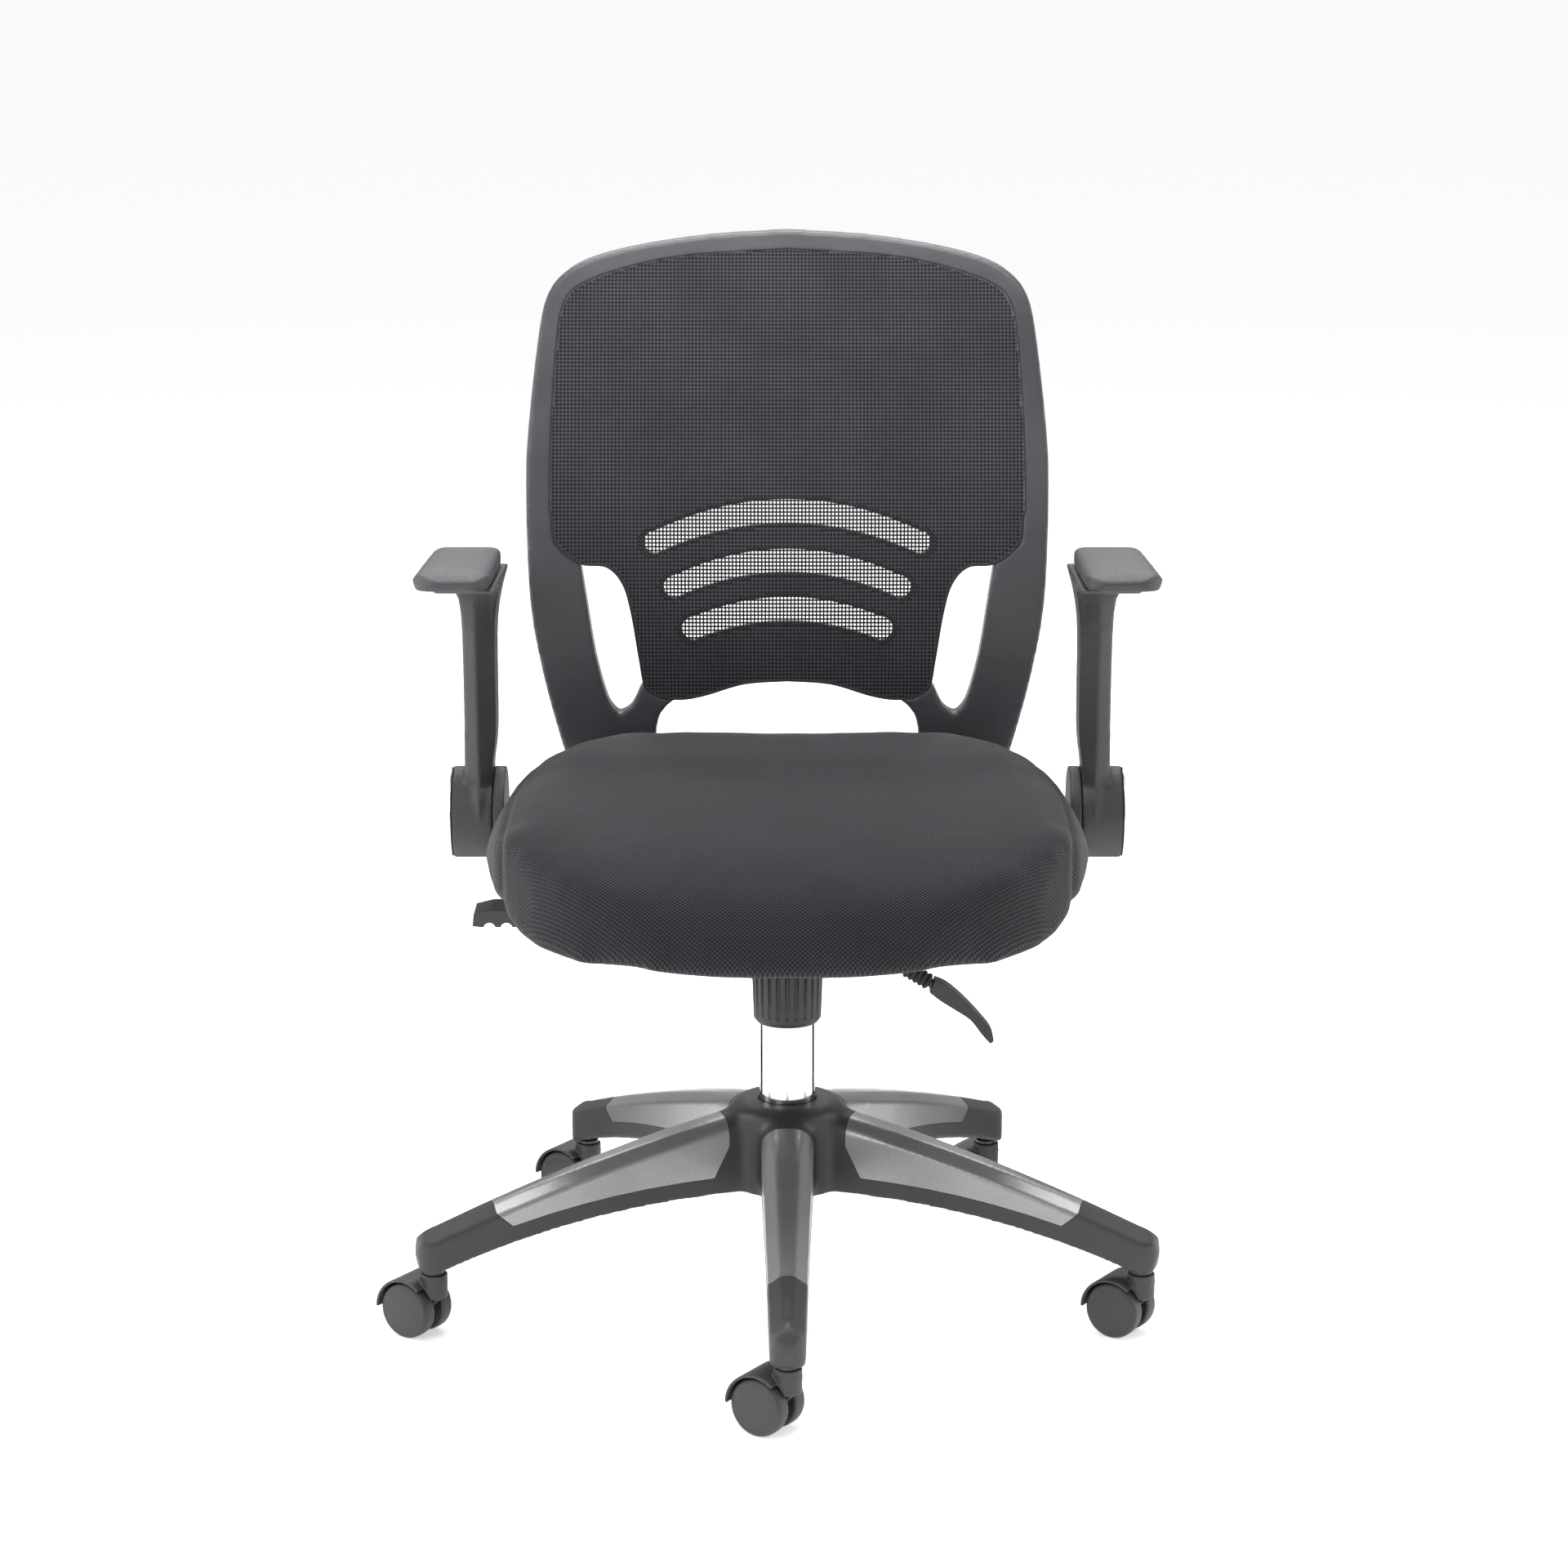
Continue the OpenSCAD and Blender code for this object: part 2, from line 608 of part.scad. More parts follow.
module seat_outline(inset = 0) {
    k = (cushion_w / 2 - inset) / (cushion_w / 2);
    mid_y = -30;
    pts = concat(seat_half, flip([for (i = [1:len(seat_half) - 2]) seat_half[i]]));
    polygon([for (p = pts) [p[0] * k, mid_y + (p[1] - mid_y) * (1 - inset / (cushion_depth / 2))]]);
}

module seat_plate() color(STEEL) difference() {
    union() {
        box(-flange_x - flange_t, flange_x + flange_t, -112, 95, plate_z, pan_z);
        for (s = [-1, 1]) mirror([s < 0 ? 1 : 0, 0, 0])
            translate([0, 0, pan_z]) along_x(flange_x, flange_x + flange_t) polygon(
                [[tilt_y - 22, -1], [tilt_y - 9, -22], [tilt_y + 9, -22], [tilt_y + 22, -1]]);
    }
    cyl_x(-mech_w, mech_w, tilt_y, tilt_z, axle_tilt_d + 2 * FIT);
    translate([0, knob_y, plate_z - 2]) cylinder(h = plate_t + 1, d = bolt_d);
    for (p = plate_bolts) translate([p[0], p[1], plate_z - 1]) cylinder(h = plate_t + 2, d = 6);
}

module bolt_holes(points) {
    for (p = points) translate([p[0], p[1], pan_z - 20]) cylinder(h = 60, d = 6);
}

foot_bolts = [for (s = [-1, 1], y = [110, 138]) [s * 162 * back_w / 480, y]];
mount_bolts = [for (s = [-1, 1], x = [166, 192]) [s * x, 52]];
all_bolts = concat(plate_bolts, foot_bolts, mount_bolts);

module seat_under_cover() color(BLACK) difference() {
    translate([0, 0, pan_z]) linear_extrude(cover_t) seat_outline(board_inset);
    bolt_holes(all_bolts);
}

module seat_board() color(WOOD) difference() {
    translate([0, 0, pan_z + cover_t]) linear_extrude(board_t) seat_outline(board_inset);
    bolt_holes(all_bolts);
}

// Side view (Y, height over the support plane) and half front view of the cushion
cushion_side = concat(
    curve([for (p = [[-246, -0.18], [-262, -0.08], [-258, 0.22], [-236, 0.52], [-190, 0.76], [-110, 0.89],
        [0, 0.93], [110, 0.97], [180, 1], [199, 0.9], [203, 0.6]]) [203 + (p[0] - 203) * ky, p[1] * cushion_h]], 3),
    [for (p = [[200, 0.12], [190, 0.04], [-170, 0.04], [-214, -0.14]]) [203 + (p[0] - 203) * ky, p[1] * cushion_h]]);
cushion_front = curve([for (p = [[0, 1.02], [110, 1.01], [180, 0.97], [226, 0.87], [250, 0.73], [262, 0.5],
    [256, 0.32], [244, 0.18], [209, 0.03], [139, -0.045], [61, -0.11], [0, -0.12]])
    [p[0] * kx, p[1] * cushion_h]], 3);

module seat_cushion() color(FABRIC) difference() {
    intersection() {
        translate([0, 0, pan_z - cushion_h]) linear_extrude(3 * cushion_h) seat_outline();
        translate([0, 0, pan_z]) along_x(-cushion_w, cushion_w) polygon(cushion_side);
        translate([0, 0, pan_z]) along_y(-cushion_depth, cushion_depth)
            polygon(both(cushion_front));
    }
    translate([0, 0, pan_z - cushion_h]) linear_extrude(cushion_h + cover_t + board_t)
        seat_outline(board_inset - GAP);
}

module seat_bolts() color(STEEL) {
    for (p = plate_bolts) bolt_up([p[0], p[1], plate_z], 6, plate_t + cover_t + board_t - 2);
    for (p = mount_bolts) bolt_up([p[0], p[1], pan_z - mount_t], 6, mount_t + cover_t + board_t - 2);
}

// ---------- back ----------

bx = back_w / 480;
seat_line = 77;                         // where the hoop's legs pass the cushion's top
bz = (back_h - seat_line) / (546 - seat_line);
groove = 1;
mesh_t = 2;
foot_t = 10;
lip = 9;

// Scales a front view of the back: widths everywhere, heights above the seat line
function back_xz(p) = [for (q = p) [q[0] * bx, q[1] < seat_line ? q[1] : seat_line + (q[1] - seat_line) * bz]];
// Scales a side view of the back
function back_yz(p) = [for (q = p) [q[0], q[1] < seat_line ? q[1] : seat_line + (q[1] - seat_line) * bz]];

// Front face of the back, seen from the side, from the top down to the rear of the seat
front_face = curve(back_yz([[285, 546], [258, 490], [235, 429], [200, 314], [190, 240], [190, 164], [197, 100],
    [206, 50], [208, 20]]), 3);

// Side view of the layer between the depths d0 and d1 behind the front face
module layer(d0, d1) {
    translate([0, 0, pan_z]) along_x(-back_w, back_w)
        polygon(concat(shift(front_face, d0, 0), back_to_front(shift(front_face, d1, 0))));
}

hoop_outer = back_xz(curve([[0, 546], [70, 542], [135, 533], [180, 522], [205, 509], [221, 490], [229, 455],
    [238, 373], [240, 320], [237, 217], [226, 147], [212, 88], [200, 44], [194, 14], [192, -10]], 3));
// Edge of the panel: top, side, shoulder, waist and scooped lower edge
panel_edge = back_xz(curve([[0, 528], [95, 522], [150, 511], [186, 498], [203, 483], [210, 450], [215, 373],
    [216, 290], [211, 266], [190, 251], [166, 248], [151, 232], [143, 204], [136, 160], [131, 134], [118, 125],
    [98, 123], [76, 127], [40, 138], [0, 141]], 3));
leg_inner = back_xz(curve([[190, 249], [185, 217], [177, 165], [166, 122], [156, 108]], 3));
arm_upper = back_xz(curve([[156, 108], [145, 115], [136, 134]], 3));
arm_lower = back_xz(curve([[0, 142], [40, 139], [76, 128], [100, 124], [115, 112], [121, 96], [124, 60], [128, 20], [132, -10]], 3));

function both(p) = concat(p, flip([for (i = [1:len(p) - 2]) p[i]]));

module hoop_face() {
    polygon(concat(hoop_outer, back_xz([[132, -10]]), flip(concat(hoop_outer, back_xz([[132, -10]])))));
}

// The two side gaps, between the legs and the panel's waist
module side_gap() {
    waist = back_xz([[120, 150], [120, 300], [190, 300]]);
    for (s = [0, 1]) mirror([s, 0, 0]) polygon(concat(leg_inner, arm_upper, waist));
}

module low_gap() {
    polygon(both(arm_lower));
}

module back_frame() color(BLACK) difference() {
    union() {
        intersection() {
            layer(0, frame_t);
            translate([0, 0, pan_z]) along_y(0, 400) hoop_face();
        }
        // Feet that run forward under the seat board
        for (s = [-1, 1]) mirror([s < 0 ? 1 : 0, 0, 0]) {
            x0 = 132 * bx;
            x1 = 192 * bx;
            box(x0, x1, 100, 208 + frame_t, pan_z - foot_t, pan_z);
            translate([0, 0, pan_z]) along_x(x0, x1) polygon([[208, -foot_t], [208 + frame_t, -foot_t],
                [208 + frame_t, 22], [208, 22]]);
        }
    }
    // Recess for the mesh and panel, then the opening behind them with a lip to screw into
    intersection() {
        layer(-5, groove + mesh_t + panel_t);
        translate([0, 0, pan_z]) along_y(0, 400) polygon(both(panel_edge));
    }
    translate([0, 0, pan_z]) along_y(0, 400) difference() {
        polygon(concat(both(back_xz(curve([[0, 528 - lip], [95, 522 - lip], [150, 511 - lip], [180, 491], [194, 477],
            [200, 450], [205, 373], [206, 290], [200, 262], [180, 240], [150, 140], [110, 130], [60, 140],
            [0, 145]], 3)))));
        for (s = [0, 1]) mirror([s, 0, 0]) polygon(back_xz([[88, 100], [98, 150], [132, 165], [150, 100]]));
    }
    translate([0, 0, pan_z]) along_y(0, 400) side_gap();
    translate([0, 0, pan_z]) along_y(0, 400) low_gap();
    bolt_holes(foot_bolts);
}

// Arched slot: a band between two arcs, closed with round ends
function slot_band(z, w, rise, h) = let (n = 8,
    top = [for (i = [-n:n]) [w * i / n, z - rise * pow(i / n, 2) + h / 2]],
    low = [for (i = [n:-1:-n]) [w * i / n, z - rise * pow(i / n, 2) - h / 2]])
    concat(top, arc(w, z - rise, h / 2, h / 2, 60, -60, 4), low, arc(-w, z - rise, h / 2, h / 2, 240, 120, 4));

module slots() {
    for (q = [[298, 121, 28, 22], [253, 103, 24, 22], [208, 86, 18, 23]])
        polygon(back_xz(slot_band(q[0], q[1], q[2], q[3])));
}

module back_panel() color(BLACK) intersection() {
    layer(groove + mesh_t, groove + mesh_t + panel_t);
    translate([0, 0, pan_z]) along_y(0, 400) difference() {
        polygon(both(panel_edge));
        slots();
    }
}

module back_mesh() color(FABRIC) intersection() {
    layer(groove, groove + mesh_t);
    translate([0, 0, pan_z]) along_y(0, 400) polygon(both(panel_edge));
}

module back_bolts() color(STEEL)
    for (p = foot_bolts) bolt_up([p[0], p[1], pan_z - foot_t], 6, foot_t + cover_t + board_t - 2);

// ---------- arms ----------

mount_t = 8;
arm_in = 252 + max(0, (cushion_w - 524) / 2);   // inner face of the fixed hub
mount_w = 10;
hub_w = 37;
cap_t = 2;
pivot_d = 12;
arm_x0 = arm_in + mount_w + GAP;
arm_x1 = arm_x0 + hub_w;
pad_t = 16;
az = pan_z + arm_z;
pad_z = pan_z + arm_top - pad_t;
pad_x0 = arm_in - 2;
pad_x1 = pad_x0 + pad_w;
pad_back = arm_y + 28;
pad_front = pad_back - pad_len;
pad_tilt = atan(pad_drop / pad_len);

// Height of the pad's underside at the distance y along the chair
function under_pad(y) = pad_z - (y - pad_front) * tan(pad_tilt);

// Bracket: a disc beside the hub, a blade down past the cushion and a foot under the seat
module arm_mount() color(BLACK) difference() {
    union() {
        cyl_x(arm_in, arm_in + mount_w, arm_y, az, arm_hub_d);
        along_x(arm_in, arm_in + 6) polygon([[32, pan_z - mount_t], [72, pan_z - mount_t],
            [arm_y + arm_hub_d / 2 - 4, az - 12], [arm_y, az], [arm_y - arm_hub_d / 2 + 1, az]]);
        box(150, arm_in + 6, 32, 72, pan_z - mount_t, pan_z);
    }
    cyl_x(arm_in - 1, arm_in + mount_w + 1, arm_y, az, pivot_d);
    bolt_holes(mount_bolts);
}

module arm_pivot_bolts() color(STEEL)
    for (s = [-1, 1]) mirror([s < 0 ? 1 : 0, 0, 0])
        cyl_x(arm_in + 1, arm_x1 - 3, arm_y, az, pivot_d);

// Outline of the post from the side and from the front
post_side = concat(
    curve([[arm_y - 27, az], [arm_y - 30, az + 60], [arm_y - 38, az + (arm_top - arm_z) * 0.55],
        [arm_y - 52, az + (arm_top - arm_z) * 0.78], [arm_y - 92, pad_z - 10], [pad_front + 22, pad_z - 5]], 4),
    [[pad_front + 16, under_pad(pad_front + 16)], [pad_back - 6, under_pad(pad_back - 6)]],
    curve([[pad_back - 8, under_pad(pad_back) - 4], [arm_y + 20, pad_z - 32], [arm_y + 4, az + (arm_top - arm_z) * 0.7],
        [arm_y + 8, az + (arm_top - arm_z) * 0.45], [arm_y + 20, az + 50], [arm_y + 25, az]], 4));
post_front = concat(
    curve([[arm_x0, az - 1], [arm_x0, az + 30], [arm_x0, az + arm_hub_d / 2 + 4],
        [arm_x0 - 4, az + arm_hub_d / 2 + 40], [arm_x0 - 5, pad_z - 70], [arm_x0 - 8, pad_z - 36],
        [arm_x0 - 14, pad_z - 12], [arm_x0 - 15, pad_z]], 4),
    curve([[pad_x1 - 16, pad_z], [arm_x0 + 30, pad_z - 18], [arm_x0 + 24, pad_z - 42], [arm_x0 + 24, az + 80],
        [arm_x0 + 25, az + 30], [arm_x0 + 26, az - 1]], 4));

module arm() color(BLACK) difference() {
    union() {
        cyl_x(arm_x0, arm_x1, arm_y, az, arm_hub_d);
        intersection() {
            along_x(arm_in - 20, arm_x1 + 60) polygon(post_side);
            along_y(-300, 400) polygon(post_front);
        }
    }
    cyl_x(arm_x0 - 20, arm_x1 - 3 + GAP, arm_y, az, pivot_d + 2 * FIT);
}

module arm_pad() color(SOFT_BLACK) {
    mid_x = (pad_x0 + pad_x1) / 2;
    plan = concat(arc(pad_x1 - 28, 28, 28, 28, -90, 0, 8), arc(pad_x1 - 22, pad_len - 24, 18, 24, 0, 90, 8),
        arc(pad_x0 + 24, pad_len - 24, 20, 24, 90, 180, 8), arc(pad_x0 + 20, 28, 20, 28, 180, 270, 8));
    side = concat([[pad_len, 0], [pad_len, pad_t - 6], [pad_len - 10, pad_t - 1]],
        curve([[60, pad_t], [20, pad_t - 1], [5, pad_t - 5], [0, pad_t * 0.45], [4, 0]], 4));
    front = concat([[pad_x0 + 4, 0]], curve([[pad_x0, pad_t * 0.5], [pad_x0 + 8, pad_t * 0.88], [mid_x, pad_t],
        [pad_x1 - 8, pad_t * 0.88], [pad_x1, pad_t * 0.5]], 4), [[pad_x1 - 4, 0]]);
    translate([0, pad_front, pad_z]) rotate([-pad_tilt, 0, 0]) intersection() {
        translate([0, 0, -1]) linear_extrude(pad_t + 2) polygon(plan);
        along_x(pad_x0 - 5, pad_x1 + 5) polygon(side);
        along_y(-5, pad_len + 5) polygon(front);
    }
}

module arm_cap() color(SILVER) cyl_x(arm_x1, arm_x1 + cap_t, arm_y, az, arm_hub_d - 2);

base_star();
base_inlays();
caster_stems();
for (i = [1:LEGS]) {
    caster_hood(i);
    caster_axle(i);
    wheel(i, -1);
    wheel(i, 1);
}
column_tube();
column_guide();
piston_rod();
thrust_bearing();
gas_cylinder();
column_sleeve();
valve_button();
mech_housing();
tilt_axle();
lever_pins();
tilt_spring();
tension_bolt();
tension_knob();
height_lever_rod();
height_paddle();
lock_lever_rod();
lock_bellows();
lock_paddle();
seat_plate();
seat_under_cover();
seat_board();
seat_cushion();
seat_bolts();
back_frame();
back_panel();
back_mesh();
back_bolts();
arm_mount();  // arm_mount_right
mirror([1, 0, 0]) arm_mount();  // arm_mount_left
arm_pivot_bolts();
arm();  // arm_right
arm_pad();  // arm_pad_right
arm_cap();  // arm_cap_right
mirror([1, 0, 0]) arm();  // arm_left
mirror([1, 0, 0]) arm_pad();  // arm_pad_left
mirror([1, 0, 0]) arm_cap();  // arm_cap_left
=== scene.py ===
# %% [markdown]
# # A swivel office chair, piece by piece
# The chair has a moulded five-star base on twin-wheel casters, a chromed column with a
# grooved dust sleeve, a padded seat, a fabric-covered back in a plastic hoop, and two arms
# that fold back. The engineering model gives every piece its true size and place.
# Here each visible piece gets its real surface: rounded mouldings, cloth and metal.

# %% Load the chair's frame
import math

import bpy
from mathutils import Matrix, Vector


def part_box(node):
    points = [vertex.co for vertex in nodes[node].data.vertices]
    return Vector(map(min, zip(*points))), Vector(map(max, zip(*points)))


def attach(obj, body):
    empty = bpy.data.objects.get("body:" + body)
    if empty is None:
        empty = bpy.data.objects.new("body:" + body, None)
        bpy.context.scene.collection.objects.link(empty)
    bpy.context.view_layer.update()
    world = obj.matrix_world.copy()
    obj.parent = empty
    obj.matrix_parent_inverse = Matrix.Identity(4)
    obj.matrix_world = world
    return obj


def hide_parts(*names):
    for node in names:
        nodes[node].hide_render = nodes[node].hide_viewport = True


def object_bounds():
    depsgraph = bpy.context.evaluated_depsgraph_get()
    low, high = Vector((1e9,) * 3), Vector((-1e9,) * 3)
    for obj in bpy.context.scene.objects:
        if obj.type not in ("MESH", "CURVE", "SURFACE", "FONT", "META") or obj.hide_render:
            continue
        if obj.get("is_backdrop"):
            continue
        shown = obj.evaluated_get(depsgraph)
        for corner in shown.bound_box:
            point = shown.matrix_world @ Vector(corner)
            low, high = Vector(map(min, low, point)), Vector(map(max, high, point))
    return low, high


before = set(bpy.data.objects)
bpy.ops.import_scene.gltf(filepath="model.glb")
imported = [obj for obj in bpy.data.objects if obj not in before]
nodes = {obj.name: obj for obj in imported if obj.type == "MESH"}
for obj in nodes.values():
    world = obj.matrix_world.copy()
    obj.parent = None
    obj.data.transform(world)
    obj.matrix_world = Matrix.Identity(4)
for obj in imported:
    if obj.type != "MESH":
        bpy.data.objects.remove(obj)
cad_low, cad_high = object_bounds()
print("pieces in the frame:", len(nodes), "size (m):", [round(v, 3) for v in cad_high - cad_low])

# %% [markdown]
# ## Tools for the bench
# Everything is made by the same few moves that are used by hand: start from a primitive or a
# casting of the rough piece, select, extrude, and finish with modifiers that are applied.
# Every operator works on whatever is selected, so each move starts by deselecting all.

# %% Small helpers: selection, modifiers and curves
MM = 0.001


def pick(piece):
    if bpy.context.object and bpy.context.object.mode != "OBJECT":
        bpy.ops.object.mode_set(mode="OBJECT")
    bpy.ops.object.select_all(action="DESELECT")
    piece.select_set(True)
    bpy.context.view_layer.objects.active = piece
    return piece


def modify(piece, kind, **settings):
    pick(piece)
    modifier = piece.modifiers.new(kind.title(), kind)
    for name, value in settings.items():
        setattr(modifier, name, value)
    bpy.ops.object.modifier_apply(modifier=modifier.name)
    return piece


def edit(piece, *moves):
    """Runs edit-mode operators on the whole piece, each given as (operator, settings)."""
    pick(piece)
    bpy.ops.object.mode_set(mode="EDIT")
    bpy.ops.mesh.select_all(action="SELECT")
    for operator, settings in moves:
        operator(**settings)
    bpy.ops.object.mode_set(mode="OBJECT")
    return piece


WELD = (bpy.ops.mesh.remove_doubles, {"threshold": 2e-5})
OUTWARD = (bpy.ops.mesh.normals_make_consistent, {"inside": False})


def through(points, steps):
    """A smooth line through every point, with that many steps between two of them."""
    line = []
    last = len(points) - 1
    for i in range(last):
        a, b, c, d = (Vector(points[max(0, min(last, k))]) for k in (i - 1, i, i + 1, i + 2))
        for step in range(steps):
            t = step / steps
            line.append(0.5 * (2 * b + (c - a) * t + (2 * a - 5 * b + 4 * c - d) * t * t
                               + (3 * b - a - 3 * c + d) * t ** 3))
    return line + [Vector(points[last])]


def along(line, share):
    """The point at that share of a line's steps."""
    place = min(max(share, 0), 1) * (len(line) - 1)
    i = min(int(place), len(line) - 2)
    return line[i].lerp(line[i + 1], place - i)


# %% [markdown]
# ## Castings with rounded edges
# A moulded part has no knife edges: the steel mould is cut with small radii, and where two
# walls meet, a soft fillet. Bevelling hundreds of edges by hand is slow and fails where
# curved faces cross. Instead the rough solid is re-skinned with an even net of small faces
# (voxel remesh), and a few passes of smoothing roll every edge over by a few millimetres.

# %% Take a casting of a rough piece and round it over
def casting(*names, name):
    parts = []
    for node in names:
        part = bpy.data.objects.new(name, nodes[node].data.copy())
        bpy.context.scene.collection.objects.link(part)
        part.data.materials.clear()
        parts.append(part)
    pick(parts[0])
    for part in parts[1:]:
        part.select_set(True)
    if len(parts) > 1:
        bpy.ops.object.join()
    edit(parts[0], WELD)
    parts[0].name = name
    return parts[0]


def round_over(piece, net, passes):
    modify(piece, "REMESH", mode="VOXEL", voxel_size=net * MM)
    modify(piece, "SMOOTH", factor=0.5, iterations=passes)
    return smooth(piece)


def smooth(piece, angle=180):
    pick(piece)
    bpy.ops.object.shade_smooth_by_angle(angle=math.radians(angle))
    print(piece.name, "faces:", len(piece.data.polygons))
    return piece


def twin(piece, name, move=(0, 0, 0), mirrored=False):
    copy = piece.copy()
    copy.data = piece.data.copy()
    copy.name = name
    bpy.context.scene.collection.objects.link(copy)
    if mirrored:
        copy.data.transform(Matrix.Scale(-1, 4, (1, 0, 0)))
        copy.data.flip_normals()
    copy.data.transform(Matrix.Translation(move))
    return copy


def fit(piece, body, slot, finish, *stands_for):
    """Gives a finished piece its material, its body and the rough pieces that it stands for."""
    piece.data.materials.clear()
    piece.data.materials.append(finish)
    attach(piece, body)
    if stands_for:
        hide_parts(*stands_for)
    return piece


# %% [markdown]
# ## Drawn shapes
# Two more starts: a flat outline that is drawn, filled and extruded, and a sheet of squares
# that is laid over a formula, as when turning a wheel on a lathe or stretching cloth.

# %% Extrude an outline, and lay a net of squares over a form
def extruded(name, outline, push, place=Matrix.Identity(4)):
    bpy.ops.object.select_all(action="DESELECT")
    bpy.ops.mesh.primitive_circle_add(vertices=len(outline), radius=1, fill_type="NGON")
    piece = bpy.context.object
    piece.name = name
    for vertex, point in zip(piece.data.vertices, outline):
        vertex.co = point
    edit(piece, (bpy.ops.mesh.extrude_region_move, {"TRANSFORM_OT_translate": {"value": push}}))
    edit(piece, OUTWARD)
    piece.data.transform(place)
    return piece


def netted(name, across, down, form):
    bpy.ops.object.select_all(action="DESELECT")
    bpy.ops.mesh.primitive_grid_add(x_subdivisions=across, y_subdivisions=down, size=2)
    piece = bpy.context.object
    piece.name = name
    for vertex in piece.data.vertices:
        vertex.co = form((vertex.co.x + 1) / 2, (vertex.co.y + 1) / 2)
    return piece


def turned(name, profile, centre, axis, around):
    """A lathe-turned piece: a profile of (radius, height) in mm goes round the axis."""
    turn = Vector(axis).to_track_quat("Z", "Y")
    line = through([(r, h, 0) for r, h in profile], 3)

    def form(u, v):
        r, h = along(line, v)[:2]
        angle = 2 * math.pi * u
        point = Vector((max(r, 0) * math.cos(angle), max(r, 0) * math.sin(angle), h)) * MM
        return turn @ point + Vector(centre)

    piece = netted(name, around, len(line) - 1, form)
    edit(piece, WELD)
    edit(piece, OUTWARD)
    return smooth(piece, 40)


# %% [markdown]
# ## Finishes
# Each finish starts from the real stuff. Colours are given as they are read on a screen and
# turned to linear light by one function. One small function adds a node and its links.

# %% Colour, nodes and the shader
def hue(text):
    parts = [int(text[i:i + 2], 16) / 255 for i in (1, 3, 5)]
    return [c / 12.92 if c <= 0.04045 else ((c + 0.055) / 1.055) ** 2.4 for c in parts] + [1]


def add(tree, kind, links=(), **settings):
    node = tree.nodes.new(kind)
    for name, value in settings.items():
        setattr(node, name, value)
    for name, value in dict(links).items():
        if isinstance(value, bpy.types.NodeSocket):
            tree.links.new(value, node.inputs[name])
        else:
            node.inputs[name].default_value = value
    return node


def finish(name, **sockets):
    material = bpy.data.materials.new(name)
    material.use_nodes = True
    tree = material.node_tree
    shader = tree.nodes["Principled BSDF"]
    for socket, value in sockets.items():
        shader.inputs[socket.replace("_", " ")].default_value = value
    return material, tree, shader


# A mix node in colour mode has its share at input 0, its colours at 6 and 7, its result at output 2.
COLOURS = {"data_type": "RGBA"}
SOFT_STEP = {"interpolation_type": "SMOOTHSTEP"}

# %% [markdown]
# ### Moulded plastics
# The black parts are injection-moulded nylon or polypropylene. The mould is spark-eroded, so
# the skin has a fine grain that scatters light, and its tone and gloss vary in faint patches.
# A painted highlight makes every bulging edge a little lighter. The grain is drawn 0.5 to 1 mm
# wide, coarser than the real one, so that it still shows.

# %% One recipe for every black moulding
def moulding(name, dark, light, grain, depth, rough, highlight_tint="#5a5a5f", **sockets):
    material, tree, shader = finish(name, Roughness=rough, **sockets)
    place = add(tree, "ShaderNodeTexCoord").outputs["Object"]
    patches = add(tree, "ShaderNodeTexNoise", {"Vector": place, "Scale": 9.0, "Detail": 3.0}).outputs["Fac"]
    skin = add(tree, "ShaderNodeTexVoronoi", {"Vector": place, "Scale": 1 / (grain * MM)}).outputs["Distance"]
    fine = add(tree, "ShaderNodeTexNoise",
               {"Vector": place, "Scale": 1.6 / (grain * MM), "Detail": 2.0}).outputs["Fac"]
    share = add(tree, "ShaderNodeMapRange", {"Value": patches, "From Min": 0.35, "From Max": 0.65},
                **SOFT_STEP)
    colour = add(tree, "ShaderNodeMix", {0: share.outputs["Result"], 6: hue(dark), 7: hue(light)}, **COLOURS)
    # Painted highlight: edges that bulge out (high pointiness) are painted lighter, towards a pale grey
    bulge = add(tree, "ShaderNodeNewGeometry").outputs["Pointiness"]
    edge = add(tree, "ShaderNodeMapRange", {"Value": bulge, "From Min": 0.53, "From Max": 0.6}, **SOFT_STEP)
    highlight_share = add(tree, "ShaderNodeMath", {0: edge.outputs["Result"], 1: 0.5}, operation="MULTIPLY")
    edge_highlighted = add(tree, "ShaderNodeMix", {0: highlight_share.outputs[0], 6: colour.outputs[2], 7: hue(highlight_tint)}, **COLOURS)
    tree.links.new(edge_highlighted.outputs[2], shader.inputs["Base Color"])
    uneven = add(tree, "ShaderNodeMapRange",
                 {"Value": patches, "To Min": rough - 0.06, "To Max": rough + 0.07})
    tree.links.new(uneven.outputs["Result"], shader.inputs["Roughness"])
    height = add(tree, "ShaderNodeMath", {0: skin, 1: fine}, operation="ADD").outputs[0]
    bump = add(tree, "ShaderNodeBump", {"Height": height, "Strength": depth, "Distance": 0.0003})
    tree.links.new(bump.outputs["Normal"], shader.inputs["Normal"])
    return material


nylon_base = moulding("Glass_filled_nylon_moulded", "#29292c", "#2f2f32", 0.9, 0.35, 0.46)
hoop_plastic = moulding("Polypropylene_satin_moulded", "#3a3a3e", "#424247", 0.8, 0.22, 0.36)
arm_plastic = moulding("Polypropylene_leather_grain", "#2d2d30", "#353539", 1.3, 0.8, 0.5)
pad_plastic = moulding("Soft_polyurethane_skin", "#343438", "#3b3b3f", 1.4, 0.9, 0.52)
caster_plastic = moulding("Nylon_caster_moulded", "#2c2c2f", "#333337", 0.7, 0.3, 0.5)
sleeve_plastic = moulding("Polypropylene_sleeve_moulded", "#252528", "#2b2b2e", 0.7, 0.25, 0.48)
bellows_rubber = moulding("Black_rubber_moulded", "#1d1d1f", "#242426", 0.8, 0.4, 0.62)
cover_plastic = moulding("Polypropylene_pan_moulded", "#222224", "#29292c", 1.2, 0.4, 0.6)

